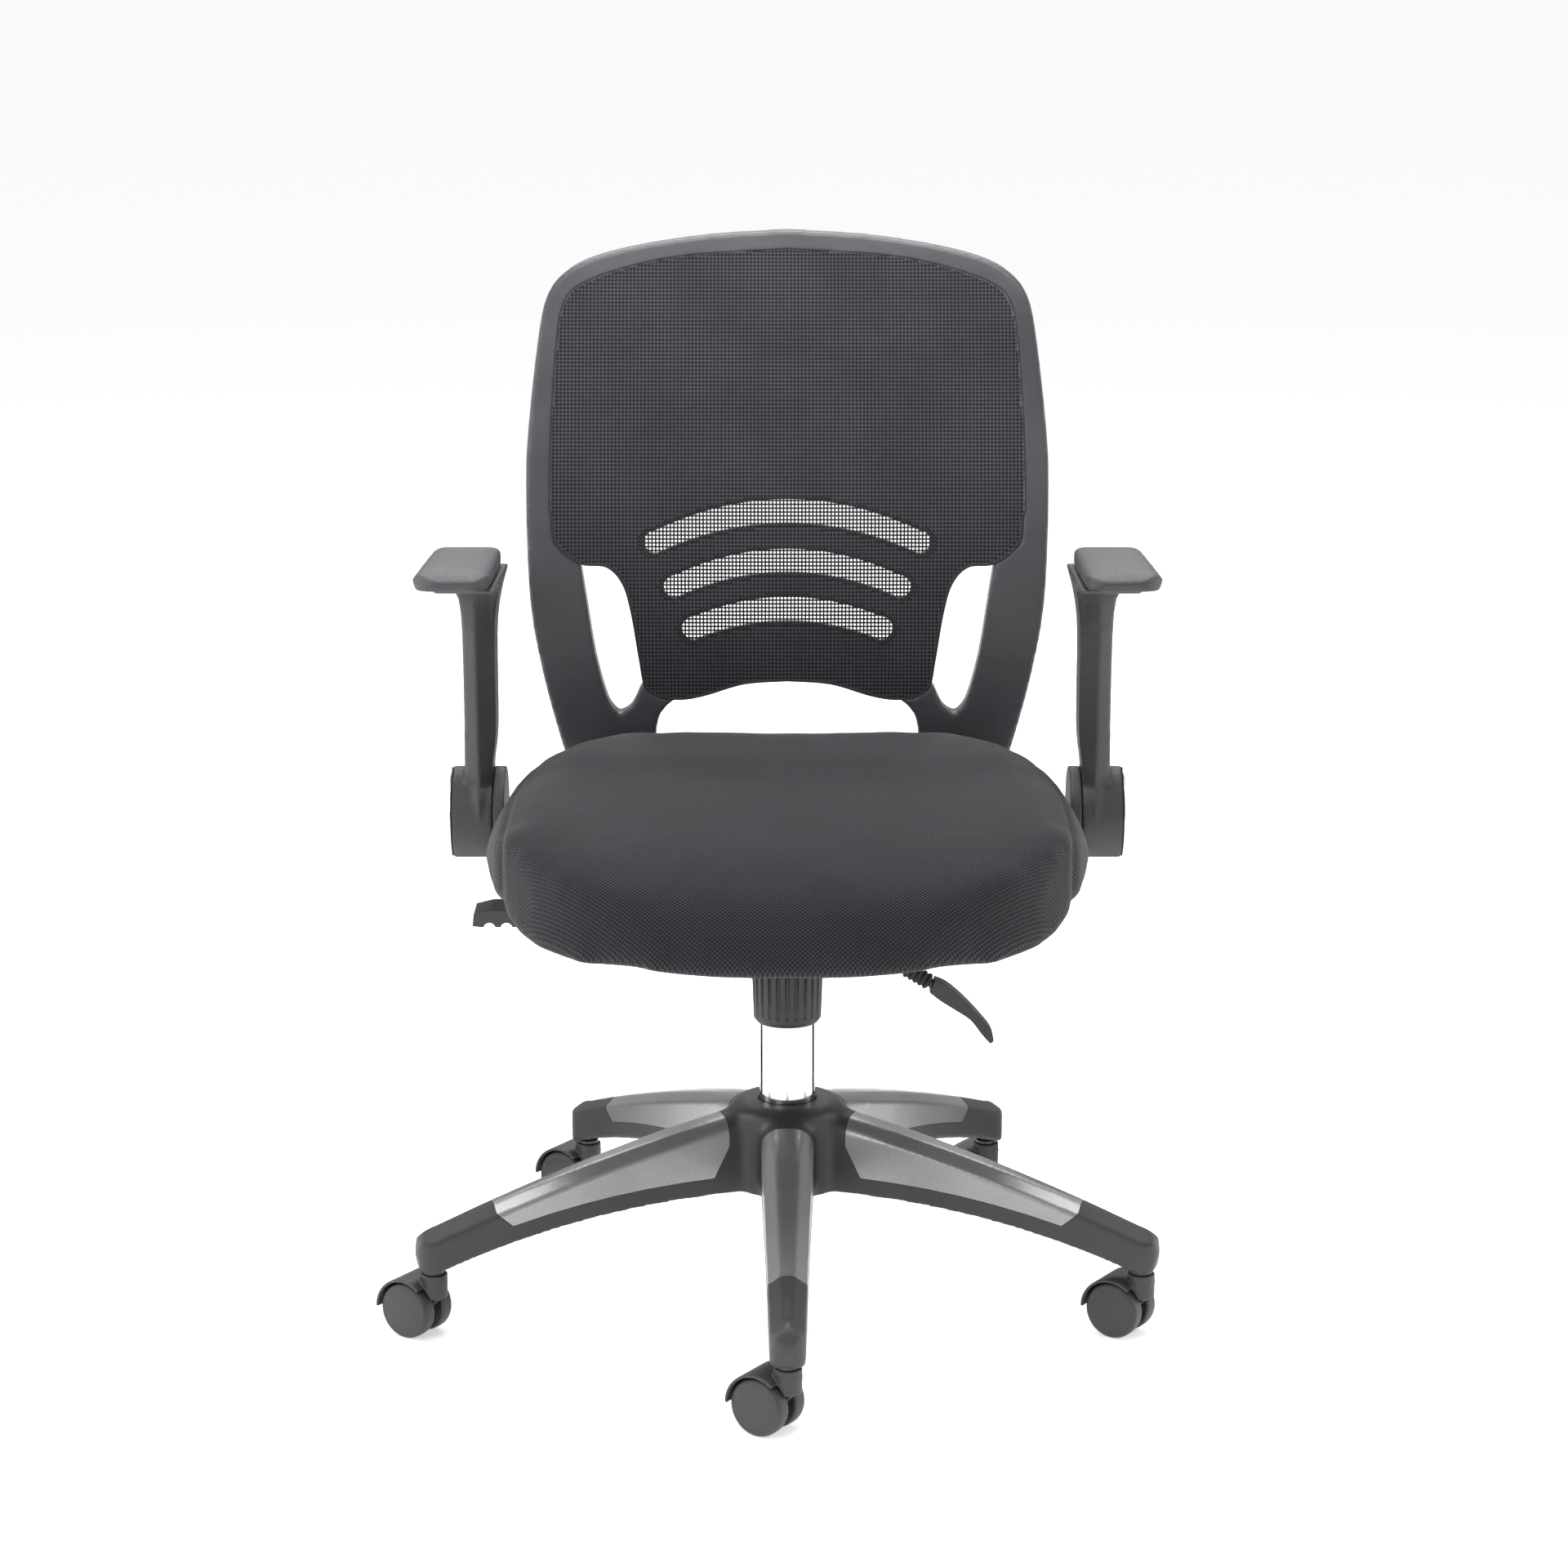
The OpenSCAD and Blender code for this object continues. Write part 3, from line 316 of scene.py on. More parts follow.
# %% [markdown]
# ### Silver covers
# The inlays on the legs are ABS sprayed with silver paint. The paint holds fine aluminium
# flakes that lie flat, so it shines softly, like brushed metal without a direction.

# %% Silver paint with flakes
silver_paint, tree, shader = finish("Silver_flake_paint_on_ABS", Metallic=0.75, Roughness=0.36,
                                    Coat_Weight=0.15)
place = add(tree, "ShaderNodeTexCoord").outputs["Object"]
flakes = add(tree, "ShaderNodeTexVoronoi", {"Vector": place, "Scale": 1200.0}).outputs["Color"]
haze = add(tree, "ShaderNodeTexNoise", {"Vector": place, "Scale": 12.0}).outputs["Fac"]
one = add(tree, "ShaderNodeSeparateColor", {"Color": flakes}).outputs[0]
share = add(tree, "ShaderNodeMapRange", {"Value": haze, "From Min": 0.3, "From Max": 0.7}, **SOFT_STEP)
tone = add(tree, "ShaderNodeMix", {0: share.outputs["Result"], 6: hue("#8a8a8c"), 7: hue("#939395")},
           **COLOURS)
bright = add(tree, "ShaderNodeMath", {0: one, 1: 0.35}, operation="MULTIPLY")
flaked = add(tree, "ShaderNodeMix", {0: bright.outputs[0], 6: tone.outputs[2], 7: hue("#a9a9aa")}, **COLOURS)
tree.links.new(flaked.outputs[2], shader.inputs["Base Color"])
bump = add(tree, "ShaderNodeBump", {"Height": one, "Strength": 0.06, "Distance": 0.0001})
tree.links.new(bump.outputs["Normal"], shader.inputs["Normal"])

# %% [markdown]
# ### Metals
# The column tube is chromed: a mirror with faint smears from wiping. Axles, pins and bolts
# are zinc-plated steel, and the mechanism is pressed steel under black powder coat.

# %% Chrome, zinc-plated steel and powder coat
def metal(name, colour, low, high, speck, **sockets):
    material, tree, shader = finish(name, Metallic=1.0, Base_Color=hue(colour), **sockets)
    place = add(tree, "ShaderNodeTexCoord").outputs["Object"]
    smears = add(tree, "ShaderNodeTexNoise", {"Vector": place, "Scale": speck, "Detail": 4.0}).outputs["Fac"]
    rough = add(tree, "ShaderNodeMapRange", {"Value": smears, "From Min": 0.3, "From Max": 0.7,
                                             "To Min": low, "To Max": high}).outputs["Result"]
    tree.links.new(rough, shader.inputs["Roughness"])
    bump = add(tree, "ShaderNodeBump", {"Height": smears, "Strength": 0.05, "Distance": 0.0002})
    tree.links.new(bump.outputs["Normal"], shader.inputs["Normal"])
    return material


chrome = metal("Chrome_plated_steel", "#c6c7c9", 0.06, 0.14, 30.0)
zinc_steel = metal("Zinc_plated_steel", "#b4b4b0", 0.25, 0.42, 240.0)
cap_metal = metal("Satin_chromed_ABS", "#d2d2d4", 0.16, 0.26, 90.0)
powder_coat = moulding("Black_powder_coat_on_steel", "#202022", "#262628", 1.0, 0.5, 0.42)
powder_coat.node_tree.nodes["Principled BSDF"].inputs["Coat Weight"].default_value = 0.2

# %% [markdown]
# ### Plywood
# The seat board is beech plywood, stained black because its edge can be seen below the
# cushion. From the side its layers, 1.5 mm thick, run light and dark; on its faces the grain
# is drawn out along the sheet.

# %% Plywood with layers and grain
plywood, tree, shader = finish("Beech_plywood", Roughness=0.62)
place = add(tree, "ShaderNodeTexCoord").outputs["Object"]
stretched = add(tree, "ShaderNodeMapping", {"Vector": place, "Scale": (14.0, 130.0, 420.0)}).outputs["Vector"]
grain = add(tree, "ShaderNodeTexNoise", {"Vector": stretched, "Scale": 1.0, "Detail": 5.0}).outputs["Fac"]
layers = add(tree, "ShaderNodeTexWave", {"Vector": place, "Scale": 105.0, "Distortion": 0.4},
             bands_direction="Z").outputs["Fac"]
fibre = add(tree, "ShaderNodeMapRange", {"Value": grain, "From Min": 0.3, "From Max": 0.7}, **SOFT_STEP)
wood = add(tree, "ShaderNodeMix", {0: fibre.outputs["Result"], 6: hue("#2b2622"), 7: hue("#383029")},
           **COLOURS)
layer = add(tree, "ShaderNodeMapRange", {"Value": layers, "From Min": 0.6, "From Max": 0.9}, **SOFT_STEP)
laid = add(tree, "ShaderNodeMix", {0: layer.outputs["Result"], 6: wood.outputs[2], 7: hue("#1f1b18")},
           **COLOURS)
tree.links.new(laid.outputs[2], shader.inputs["Base Color"])
bump = add(tree, "ShaderNodeBump", {"Height": grain, "Strength": 0.3, "Distance": 0.0003})
tree.links.new(bump.outputs["Normal"], shader.inputs["Normal"])

# %% [markdown]
# ### Air-mesh cloth of the seat
# The seat is covered in a warp-knitted spacer cloth. Its face is a net of dark grey-violet
# yarn round small open cells, with a black backing behind them. The cells stand 4.1 mm apart
# in rows 2.05 mm apart, each row shifted by half a cell. A cell pattern with no randomness,
# turned by 45 degrees, gives exactly those rows; a finer noise gives the yarn, and a little
# sheen gives the fuzz its soft light.

# %% Staggered cells on the cloth's own map, in metres
CELL = 2.9      # mm, side of one cell of the knit


def cloth(name, net_colour, yarn_colour, cell_colour, size, turn, stretch=(1, 1), open_at=0.34, **sockets):
    material, tree, shader = finish(name, Roughness=0.82, Sheen_Weight=0.12, Sheen_Roughness=0.4,
                                    Specular_IOR_Level=0.3, **sockets)
    place = add(tree, "ShaderNodeUVMap", uv_map="weave").outputs["UV"]
    turned_place = add(tree, "ShaderNodeMapping", {"Vector": place, "Rotation": (0, 0, math.radians(turn)),
                       "Scale": (stretch[0] / (size * MM), stretch[1] / (size * MM), 1)}).outputs["Vector"]
    cells = add(tree, "ShaderNodeTexVoronoi", {"Vector": turned_place, "Scale": 1.0, "Randomness": 0.0},
                voronoi_dimensions="2D").outputs["Distance"]
    yarn = add(tree, "ShaderNodeTexNoise", {"Vector": place, "Scale": 1700.0, "Detail": 2.0}).outputs["Fac"]
    broad = add(tree, "ShaderNodeTexNoise", {"Vector": place, "Scale": 14.0, "Detail": 2.0}).outputs["Fac"]
    wall = add(tree, "ShaderNodeMapRange", {"Value": cells, "From Min": open_at - 0.08,
                                            "From Max": open_at + 0.08}, **SOFT_STEP).outputs["Result"]
    fuzz = add(tree, "ShaderNodeMapRange", {"Value": yarn, "From Min": 0.35, "From Max": 0.65}, **SOFT_STEP)
    thread = add(tree, "ShaderNodeMix", {0: fuzz.outputs["Result"], 6: hue(net_colour), 7: hue(yarn_colour)},
                 **COLOURS)
    patch = add(tree, "ShaderNodeMapRange", {"Value": broad, "From Min": 0.3, "From Max": 0.7}, **SOFT_STEP)
    faint = add(tree, "ShaderNodeMath", {0: patch.outputs["Result"], 1: 0.25}, operation="MULTIPLY")
    shade = add(tree, "ShaderNodeMix", {0: faint.outputs[0], 6: thread.outputs[2], 7: hue(cell_colour)},
                **COLOURS)
    face = add(tree, "ShaderNodeMix", {0: wall, 6: hue(cell_colour), 7: shade.outputs[2]}, **COLOURS)
    tree.links.new(face.outputs[2], shader.inputs["Base Color"])
    height = add(tree, "ShaderNodeMath", {0: wall, 1: yarn, 2: 0.0}, operation="MULTIPLY_ADD")
    tree.links.new(wall, height.inputs[2])
    bump = add(tree, "ShaderNodeBump", {"Height": height.outputs[0], "Strength": 0.6, "Distance": 0.0008})
    tree.links.new(bump.outputs["Normal"], shader.inputs["Normal"])
    return material


seat_cloth = cloth("Warp_knitted_air_mesh", "#2a272e", "#3a3640", "#060607", CELL, 45, open_at=0.42)
back_cloth = cloth("Stretched_back_mesh", "#37363c", "#4c4a52", "#0c0c0e", 3.33, 0, stretch=(1, 0.95),
                   open_at=0.36)
hem_cord, tree, shader = finish("Folded_hem_of_the_net", Roughness=0.75, Base_Color=hue("#17171a"),
                                Sheen_Weight=0.1)
place = add(tree, "ShaderNodeTexCoord").outputs["Object"]
twist = add(tree, "ShaderNodeTexWave", {"Vector": place, "Scale": 700.0, "Distortion": 1.0},
            bands_direction="DIAGONAL").outputs["Fac"]
bump = add(tree, "ShaderNodeBump", {"Height": twist, "Strength": 0.5, "Distance": 0.0002})
tree.links.new(bump.outputs["Normal"], shader.inputs["Normal"])
print("finishes:", len(bpy.data.materials))

# %% [markdown]
# ## Camera and light
# The chair stands on a pale floor that fills the view. The camera is at standing height,
# looks a little down, and has a long lens, which keeps the chair's lines nearly parallel.

# %% Camera
camera = bpy.data.objects.new("Camera", bpy.data.cameras.new("Camera"))
bpy.context.scene.collection.objects.link(camera)
camera.location = (-0.003, -3.46, 1.288)
camera.rotation_euler = (math.radians(90 - 13.24), 0, 0)
camera.data.lens = 93.3
camera.data.sensor_width = 36
camera.data.clip_end = 200
bpy.context.scene.camera = camera

# %% Floor and soft light
bpy.ops.object.select_all(action="DESELECT")
bpy.ops.mesh.primitive_plane_add(size=120, location=(0, 0, 0))
floor = bpy.context.object
floor.name = "floor"
floor_paint, tree, shader = finish("Floor_matt_white", Base_Color=(0.9, 0.9, 0.9, 1), Roughness=0.9,
                                  Emission_Color=(1, 1, 1, 1), Emission_Strength=0.5)
floor.data.materials.append(floor_paint)
floor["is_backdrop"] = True

world = bpy.data.worlds.new("Studio")
bpy.context.scene.world = world
world.use_nodes = True
world.node_tree.nodes["Background"].inputs["Color"].default_value = (1, 1, 1, 1)
world.node_tree.nodes["Background"].inputs["Strength"].default_value = 0.5
bpy.context.scene.view_settings.view_transform = "Standard"


def softbox(name, place, aim, size, watts):
    light = bpy.data.objects.new(name, bpy.data.lights.new(name, "AREA"))
    bpy.context.scene.collection.objects.link(light)
    light.data.shape = "RECTANGLE"
    light.data.size, light.data.size_y = size
    light.data.energy = watts
    light.location = place
    light.rotation_euler = (Vector(aim) - Vector(place)).to_track_quat("-Z", "Y").to_euler()


softbox("Top_light", (0, -0.2, 3.0), (0, 0, 0.4), (1.8, 1.6), 75)
softbox("Front_light", (-2.2, -3.2, 2.2), (0, 0, 0.5), (1.4, 1.4), 45)
softbox("Left_light", (-2.6, 0.2, 1.3), (0, 0, 0.5), (0.8, 2.2), 40)
softbox("Right_light", (2.6, 0.4, 1.3), (0, 0, 0.5), (0.8, 2.2), 26)
softbox("Rim_light", (0, 2.4, 2.6), (0, 0, 0.8), (2.4, 1.0), 50)


def flag(name, x, y, wide, tall):
    """A black card behind the column, unseen by the camera: it draws dark edges on the chrome."""
    bpy.ops.object.select_all(action="DESELECT")
    bpy.ops.mesh.primitive_plane_add(size=1, location=(x, y, tall / 2),
                                     rotation=(math.radians(90), 0, math.atan2(y, x) + math.radians(90)))
    card = bpy.context.object
    card.name = name
    card.scale = (wide, tall, 1)
    card.visible_camera = card.visible_shadow = card.visible_diffuse = False
    card.data.materials.append(flag_black)
    card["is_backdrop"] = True


flag_black, tree, shader = finish("Flag_black_felt", Base_Color=(0.01, 0.01, 0.01, 1), Roughness=1.0,
                                  Specular_IOR_Level=0.0)
flag("Flag_left", -0.31, 0.26, 0.13, 0.3)
flag("Flag_right", 0.31, 0.26, 0.13, 0.3)

# %% [markdown]
# ## The star base
# The base is one moulding: a hub with five hollow legs, ribbed below, and a shallow recess
# on each leg that a silver cover fills flush. The cover and the leg must share one flowing
# surface, so the whole leg is first made solid and rounded, with wide fillets where the
# legs run into the hub. Then a thin skin is cut from it: the skin becomes the covers, and
# what is left becomes the star.

# %% Measures of the base, in mm
hub_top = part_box("base_star")[1].z / MM
hub_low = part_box("base_star")[0].z / MM + 48
leg_end = -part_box("base_star")[0].y / MM
foot_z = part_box("base_star")[0].z / MM
LEGS = 5


def leg_low(r):
    share = min(max((r - 38) / (leg_end - 16 - 38), 0), 1)
    return hub_low + 1 + (foot_z - hub_low - 1) * share ** 2.2


def leg_ridge(r):
    t = (r - 52) / (leg_end - 19 - 52)
    return (hub_top - 8) * (1 - t) + (foot_z + 39) * t + 20 * t * (1 - t)


def leg_half(r):
    return 23.5 - 8.5 * max((r - 52) / (leg_end - 19 - 52), 0)


def leg_turn(i):
    return Matrix.Rotation(math.radians(-90 + 72 * i), 4, "Z")


def across(points, half, i, name="cut"):
    """A prism across leg i, from an outline of (radius, height)."""
    outline = [Vector((r, -half, z)) * MM for r, z in points]
    return extruded(name, outline, (0, 2 * half * MM, 0), leg_turn(i))


def joined(pieces, name):
    pick(pieces[0])
    for piece in pieces[1:]:
        piece.select_set(True)
    if len(pieces) > 1:
        bpy.ops.object.join()
    pieces[0].name = name
    return pieces[0]


def carve(piece, tool, operation, keep_tool=False):
    modify(piece, "BOOLEAN", object=tool, operation=operation, solver="MANIFOLD")
    if not keep_tool:
        bpy.data.objects.remove(tool)
    return piece


print("leg:", round(leg_end), "mm long, foot at", round(foot_z), "mm")
print("hub:", round(hub_low), "to", round(hub_top), "mm high")

# %% The solid star with soft fillets
rough = casting("base_star", "base_inlays", name="base_star_moulding")
FILL_FROM, FILL_TO, FILLERS = 59, 307, 8      # the radii, in mm, between which a leg is made solid
steps = [FILL_FROM + (FILL_TO - FILL_FROM) * k / FILLERS for k in range(FILLERS + 1)]
fillers = []
for i in range(LEGS):
    for a, b in zip(steps[:-1], steps[1:]):
        outline = [(a, leg_low(a) + 0.6), (b + 1, leg_low(b + 1) + 0.6),
                   (b + 1, leg_ridge(b) - 11), (a, leg_ridge(a) - 11)]
        fillers.append(across(outline, leg_half(b) - 4.2, i))
star = round_over(joined([rough] + fillers, "base_star_moulding"), 2.0, 6)
group = star.vertex_groups.new(name="hub")
for vertex in star.data.vertices:
    r = math.hypot(vertex.co.x, vertex.co.y) / MM
    weight = max(0, min(1, (r - 36) / 14, (100 - r) / 30))
    if weight and vertex.co.z > (hub_low + 4) * MM:
        group.add([vertex.index], weight, "REPLACE")
modify(star, "SMOOTH", factor=0.5, iterations=60, vertex_group="hub")
star.vertex_groups.clear()
smooth(star)

# %% Cut the thin covers out of its skin
def cover_region(i, gap):
    lift, r0, r1 = 14, 61 - gap, 271 + gap
    points = [(r0, hub_top + 5), (r0, leg_low(r0) + 44 - gap)]
    for k in range(7):
        r = r0 + lift + (r1 - r0 - 2 * lift) * k / 6
        points.append((r, leg_low(r) + 16 - gap))
    points += [(r1, leg_low(r1) + 32 - gap), (r1 + 5, hub_top + 5)]
    return across(points, 60, i)


core = twin(star, "core")
modify(core, "DISPLACE", strength=-2 * MM, mid_level=0.0)
wide = carve(joined([cover_region(i, 0.35) for i in range(LEGS)], "wide"), core, "DIFFERENCE", keep_tool=True)
tight = carve(joined([cover_region(i, 0) for i in range(LEGS)], "tight"), core, "DIFFERENCE")
covers = twin(star, "leg_covers")
carve(covers, tight, "INTERSECT")
carve(star, wide, "DIFFERENCE")

# %% Hollow the legs from below, leaving cross ribs
pockets = []
BAYS_FROM, BAYS_TO, BAYS = 60, 305, 6        # the radii, in mm, of the hollow part of a leg
RIB = 2.5                                     # mm, thickness of a rib
pitch = (BAYS_TO - BAYS_FROM) / BAYS
for i in range(LEGS):
    for k in range(BAYS):
        a, b = BAYS_FROM + pitch * k + RIB / 2, BAYS_FROM + pitch * (k + 1) - RIB / 2
        outline = [(a, leg_low(a) - 30), (b, leg_low(b) - 30), (b, leg_ridge(b) - 15), (a, leg_ridge(a) - 15)]
        pockets.append(across(outline, leg_half(b) - 6.5, i))
carve(star, joined(pockets, "pockets"), "DIFFERENCE")
fit(smooth(star, 40), "base", "nylon_black", nylon_base, "base_star")
fit(smooth(covers, 40), "base", "silver_cover", silver_paint, "base_inlays")

# %% [markdown]
# ## The casters
# Each caster is a hood with a fender over the top, and two wheels on one axle. The hood is
# rounded from its rough solid. A wheel is turned: a flat tread with round shoulders and a
# slightly domed disc. All five trail the same way, so one is made and copied along.

# %% Hoods and wheels
hood = round_over(casting("caster_hood_1", name="caster_hood_moulding_1"), 0.9, 5)
WHEEL = [(0, 2.2), (9, 2.2), (11, 3.0), (19, 3.0), (21, 0.9), (23.4, 0.5), (24.7, 2.2), (25, 5), (25, 10.5),
         (24.4, 13), (22.6, 14.5), (20.6, 14.9), (19.9, 14.75), (18, 15.1), (9, 15.6), (0, 15.8)]
trail = math.radians(147)
axle_way = Vector((-math.sin(trail), math.cos(trail), 0))
wheels = {}
for side, sign in (("left", -1), ("right", 1)):
    low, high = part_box(f"wheel_{side}_1")
    inner = (low + high) / 2 - axle_way * sign * 7.5 * MM
    wheels[side] = turned(f"caster_wheel_{side}_1", WHEEL, inner, axle_way * sign, 56)
for i in range(1, LEGS + 1):
    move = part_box(f"caster_hood_{i}")[0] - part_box("caster_hood_1")[0]
    piece = hood if i == 1 else twin(hood, f"caster_hood_moulding_{i}", move)
    fit(piece, f"caster_{i}", "nylon_black", caster_plastic, f"caster_hood_{i}")
    for side in wheels:
        piece = wheels[side] if i == 1 else twin(wheels[side], f"caster_wheel_{side}_{i}", move)
        fit(piece, f"wheel_{side[0]}_{i}", "wheel_plastic", caster_plastic, f"wheel_{side}_{i}")

# %% [markdown]
# ## The column sleeve, the knob and the levers
# Small mouldings that only need their edges rolled over. The net is finer on a small piece,
# so that grooves and thin tips survive.

# %% Small mouldings
SMALL = [      # rough piece, new piece, net in mm, passes, body, slot, finish
    ("column_sleeve", "dust_sleeve", 0.8, 3, "lift", "sleeve_plastic", sleeve_plastic),
    ("tension_knob", "tension_knob_moulding", 0.8, 4, "knob", "nylon_black", sleeve_plastic),
    ("height_paddle", "height_paddle_moulding", 0.8, 5, "height_lever", "nylon_black", arm_plastic),
    ("lock_paddle", "lock_paddle_moulding", 0.7, 5, "lock_lever", "nylon_black", arm_plastic),
    ("lock_bellows", "lever_bellows", 0.45, 4, "lock_lever", "rubber", bellows_rubber),
]
for rough_name, new_name, net_size, passes, body, slot, stuff in SMALL:
    fit(round_over(casting(rough_name, name=new_name), net_size, passes), body, slot, stuff, rough_name)

# %% [markdown]
# ## The hoop of the back
# The hoop, its two lower legs and the short arms that hold the panel are one satin moulding
# with soft edges all round. Rounding its rough solid gives the fillets where the arms meet
# the legs.

# %% The hoop
hoop = round_over(casting("back_frame", name="back_hoop"), 1.9, 7)
fit(hoop, "seat", "nylon_black", hoop_plastic, "back_frame")

# %% [markdown]
# ## The arms
# The post of an arm has a ridge down its front, where two facets meet, and ends in a point
# on the hub. The casting gets a dense net, the ridge is pulled forward by a measured amount,
# and smoothing blends it in. The left arm is the mirror image of the right one.

# %% Arm posts with a front ridge
pivot_z = (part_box("arm_cap_right")[0].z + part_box("arm_cap_right")[1].z) / 2
post_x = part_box("arm_cap_right")[0].x - 25.5 * MM


def ridge(piece):
    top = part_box("arm_pad_right")[0].z
    facing = [v.normal.y for v in piece.data.vertices]
    for vertex, forward in zip(piece.data.vertices, facing):
        x, y, z = vertex.co
        rise = (z - pivot_z + 2 * MM) / MM
        if rise < 0 or z > top - 10 * MM or forward > -0.35:
            continue
        width = 14 * min(1, rise / 46)
        height = 9 * min(1, rise / 46) * min(1, (top - 10 * MM - z) / (40 * MM))
        share = max(0, 1 - abs(x - post_x) / MM / max(width, 0.1))
        vertex.co.y = y - height * share * MM
    return piece


arm = casting("arm_right", name="arm_right_moulding")
modify(arm, "REMESH", mode="VOXEL", voxel_size=1.5 * MM)
ridge(arm)
modify(arm, "SMOOTH", factor=0.5, iterations=7)
smooth(arm)
pad = round_over(casting("arm_pad_right", name="arm_pad_right_skin"), 1.3, 16)
mount = round_over(casting("arm_mount_right", name="arm_bracket_right"), 1.2, 5)
cap_low, cap_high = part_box("arm_cap_right")
cap_at = ((cap_low + cap_high) / 2)
cap_at.x = cap_low.x
CAP = [(0, 2.6), (20, 2.5), (34, 2.1), (38.6, 1.7), (40.2, 0.9), (40.2, 0.1), (38, 0.05), (0, 0.05)]
cap = turned("arm_cap_right_disc", CAP, cap_at, (1, 0, 0), 72)
for side, mirrored in (("left", True), ("right", False)):
    short = side[0]
    for piece, rough_name, body, slot, stuff in (
            (arm, "arm", f"arm_{short}", "arm_plastic", arm_plastic),
            (pad, "arm_pad", f"arm_{short}", "pad_plastic", pad_plastic),
            (cap, "arm_cap", f"arm_{short}", "silver_cover", cap_metal),
            (mount, "arm_mount", "seat", "nylon_black", arm_plastic)):
        made = twin(piece, piece.name.replace("right", "left"), mirrored=True) if mirrored else piece
        fit(made, body, slot, stuff, f"{rough_name}_{side}")

# %% [markdown]
# ## The seat cushion
# A block of cut foam in a sewn cover: a top panel that runs over the front edge, and boxed
# side panels sewn to it. The foam pushes the cloth out, so it is crowned everywhere. The
# rough solid is re-skinned and smoothed, which makes it a little smaller, and a cloth
# simulation that is held back to a few millimetres blows it up. It is smoothed once more and
# moved out by 3 mm, its front edge is pulled down, and then the seams are pressed in.

# %% Blow the cushion up
def swell(piece, pressure, cap_mm, still):
    """Inflates a piece as cloth, and limits how far each point may go."""
    rest = [v.co.copy() for v in piece.data.vertices]
    pick(piece)
    modifier = piece.modifiers.new("Cloth", "CLOTH")
    modifier.settings.use_pressure = True
    modifier.settings.uniform_pressure_force = pressure
    modifier.settings.effector_weights.gravity = 0
    modifier.settings.quality = 5
    modifier.settings.mass = 0.3
    modifier.collision_settings.use_collision = False
    modifier.point_cache.frame_start, modifier.point_cache.frame_end = 1, 20
    for step in range(1, 21):
        bpy.context.scene.frame_set(step)
    bpy.ops.object.modifier_apply(modifier=modifier.name)
    bpy.context.scene.frame_set(1)
    most = 0
    for vertex, start in zip(piece.data.vertices, rest):
        way = vertex.co - start
        limit = 0 if still(start) else cap_mm * MM
        if way.length > limit:
            way = way.normalized() * limit if limit else Vector()
        vertex.co = start + way
        most = max(most, way.length)
    print(piece.name, "swelled by up to", round(most / MM, 1), "mm")
    return piece


seat_low, seat_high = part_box("seat_cushion")
board_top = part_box("seat_board")[1].z
cushion = casting("seat_cushion", name="seat_cushion_cover")
modify(cushion, "REMESH", mode="VOXEL", voxel_size=5 * MM)
modify(cushion, "SMOOTH", factor=0.5, iterations=8)
swell(cushion, 4, 4.5,
      lambda p: p.z < board_top + 4 * MM and abs(p.x) < 0.235 and p.y > seat_low.y + 0.03)
modify(cushion, "SMOOTH", factor=0.5, iterations=22)
modify(cushion, "DISPLACE", strength=3 * MM, mid_level=0.0)
modify(cushion, "SUBSURF", levels=1, render_levels=1)
for vertex in cushion.data.vertices:     # the cover is pulled down over the front edge of the board
    front = min(1, max(0, (-0.12 - vertex.co.y) / 0.09))
    below = min(1, max(0, (seat_low.z + 0.05 - vertex.co.z) / 0.04))
    vertex.co.z -= 9 * MM * front * front * (3 - 2 * front) * below * below * (3 - 2 * below)
low = Vector([min(v.co[k] for v in cushion.data.vertices) for k in range(3)])
high = Vector([max(v.co[k] for v in cushion.data.vertices) for k in range(3)])
print("cushion", [round(v, 3) for v in low], [round(v, 3) for v in high], "rough", seat_low, seat_high)

# %% Press in the seams and map the cloth
SEAM = 241.0      # mm from the middle to the seam between top panel and side panel


def half_width(y):
    """Half the seat's width at y, in mm, towards the rear."""
    line = [(-262, 60), (-218, 190), (-160, 238), (-100, 258), (-50, 262), (0, 258), (50, 249), (105, 232),
            (150, 205), (187, 150), (203, 70)]
    for (y0, w0), (y1, w1) in zip(line[:-1], line[1:]):
        if y <= y1:
            return w0 + (w1 - w0) * (y - y0) / (y1 - y0)
    return 60


def seam_at(y):
    return min(SEAM, half_width(y) - 13) if y > -100 else SEAM


outward = [v.normal.copy() for v in cushion.data.vertices]
for vertex, normal in zip(cushion.data.vertices, outward):
    x, y, z = vertex.co / MM
    off = abs(x) - seam_at(y)
    if z > board_top / MM - 6:
        press = 1.7 * math.exp(-(off / 2.2) ** 2) - 0.5 * math.exp(-((abs(off) - 6) / 3.0) ** 2)
        vertex.co = vertex.co - normal * press * MM
weave = cushion.data.uv_layers.new(name="weave")
top_z = seat_high.z
sideways = [abs(f.normal.x) > 0.8 for f in cushion.data.polygons]
for face, side in zip(cushion.data.polygons, sideways):
    for k in face.loop_indices:
        p = cushion.data.vertices[cushion.data.loops[k].vertex_index].co
        weave.data[k].uv = (p.y, p.z) if side else (p.x, p.y - (top_z - p.z) * (1 if p.y < 0 else -1))
fit(smooth(cushion), "seat", "cushion_fabric", seat_cloth, "seat_cushion")

# %% [markdown]
# ## The back cloth
# An open net is stretched over the whole panel. Behind it the panel has three arched slots,
# and only there can one look through the holes. So the net is a sheet of squares, one for
# each mesh of the cloth. Each square over a slot is inset and its middle deleted, which
# leaves real threads. The net is opened a little beyond the slots, so that the panel's own
# edge shows through it. Elsewhere the finish draws dark meshes of nearly the same size.

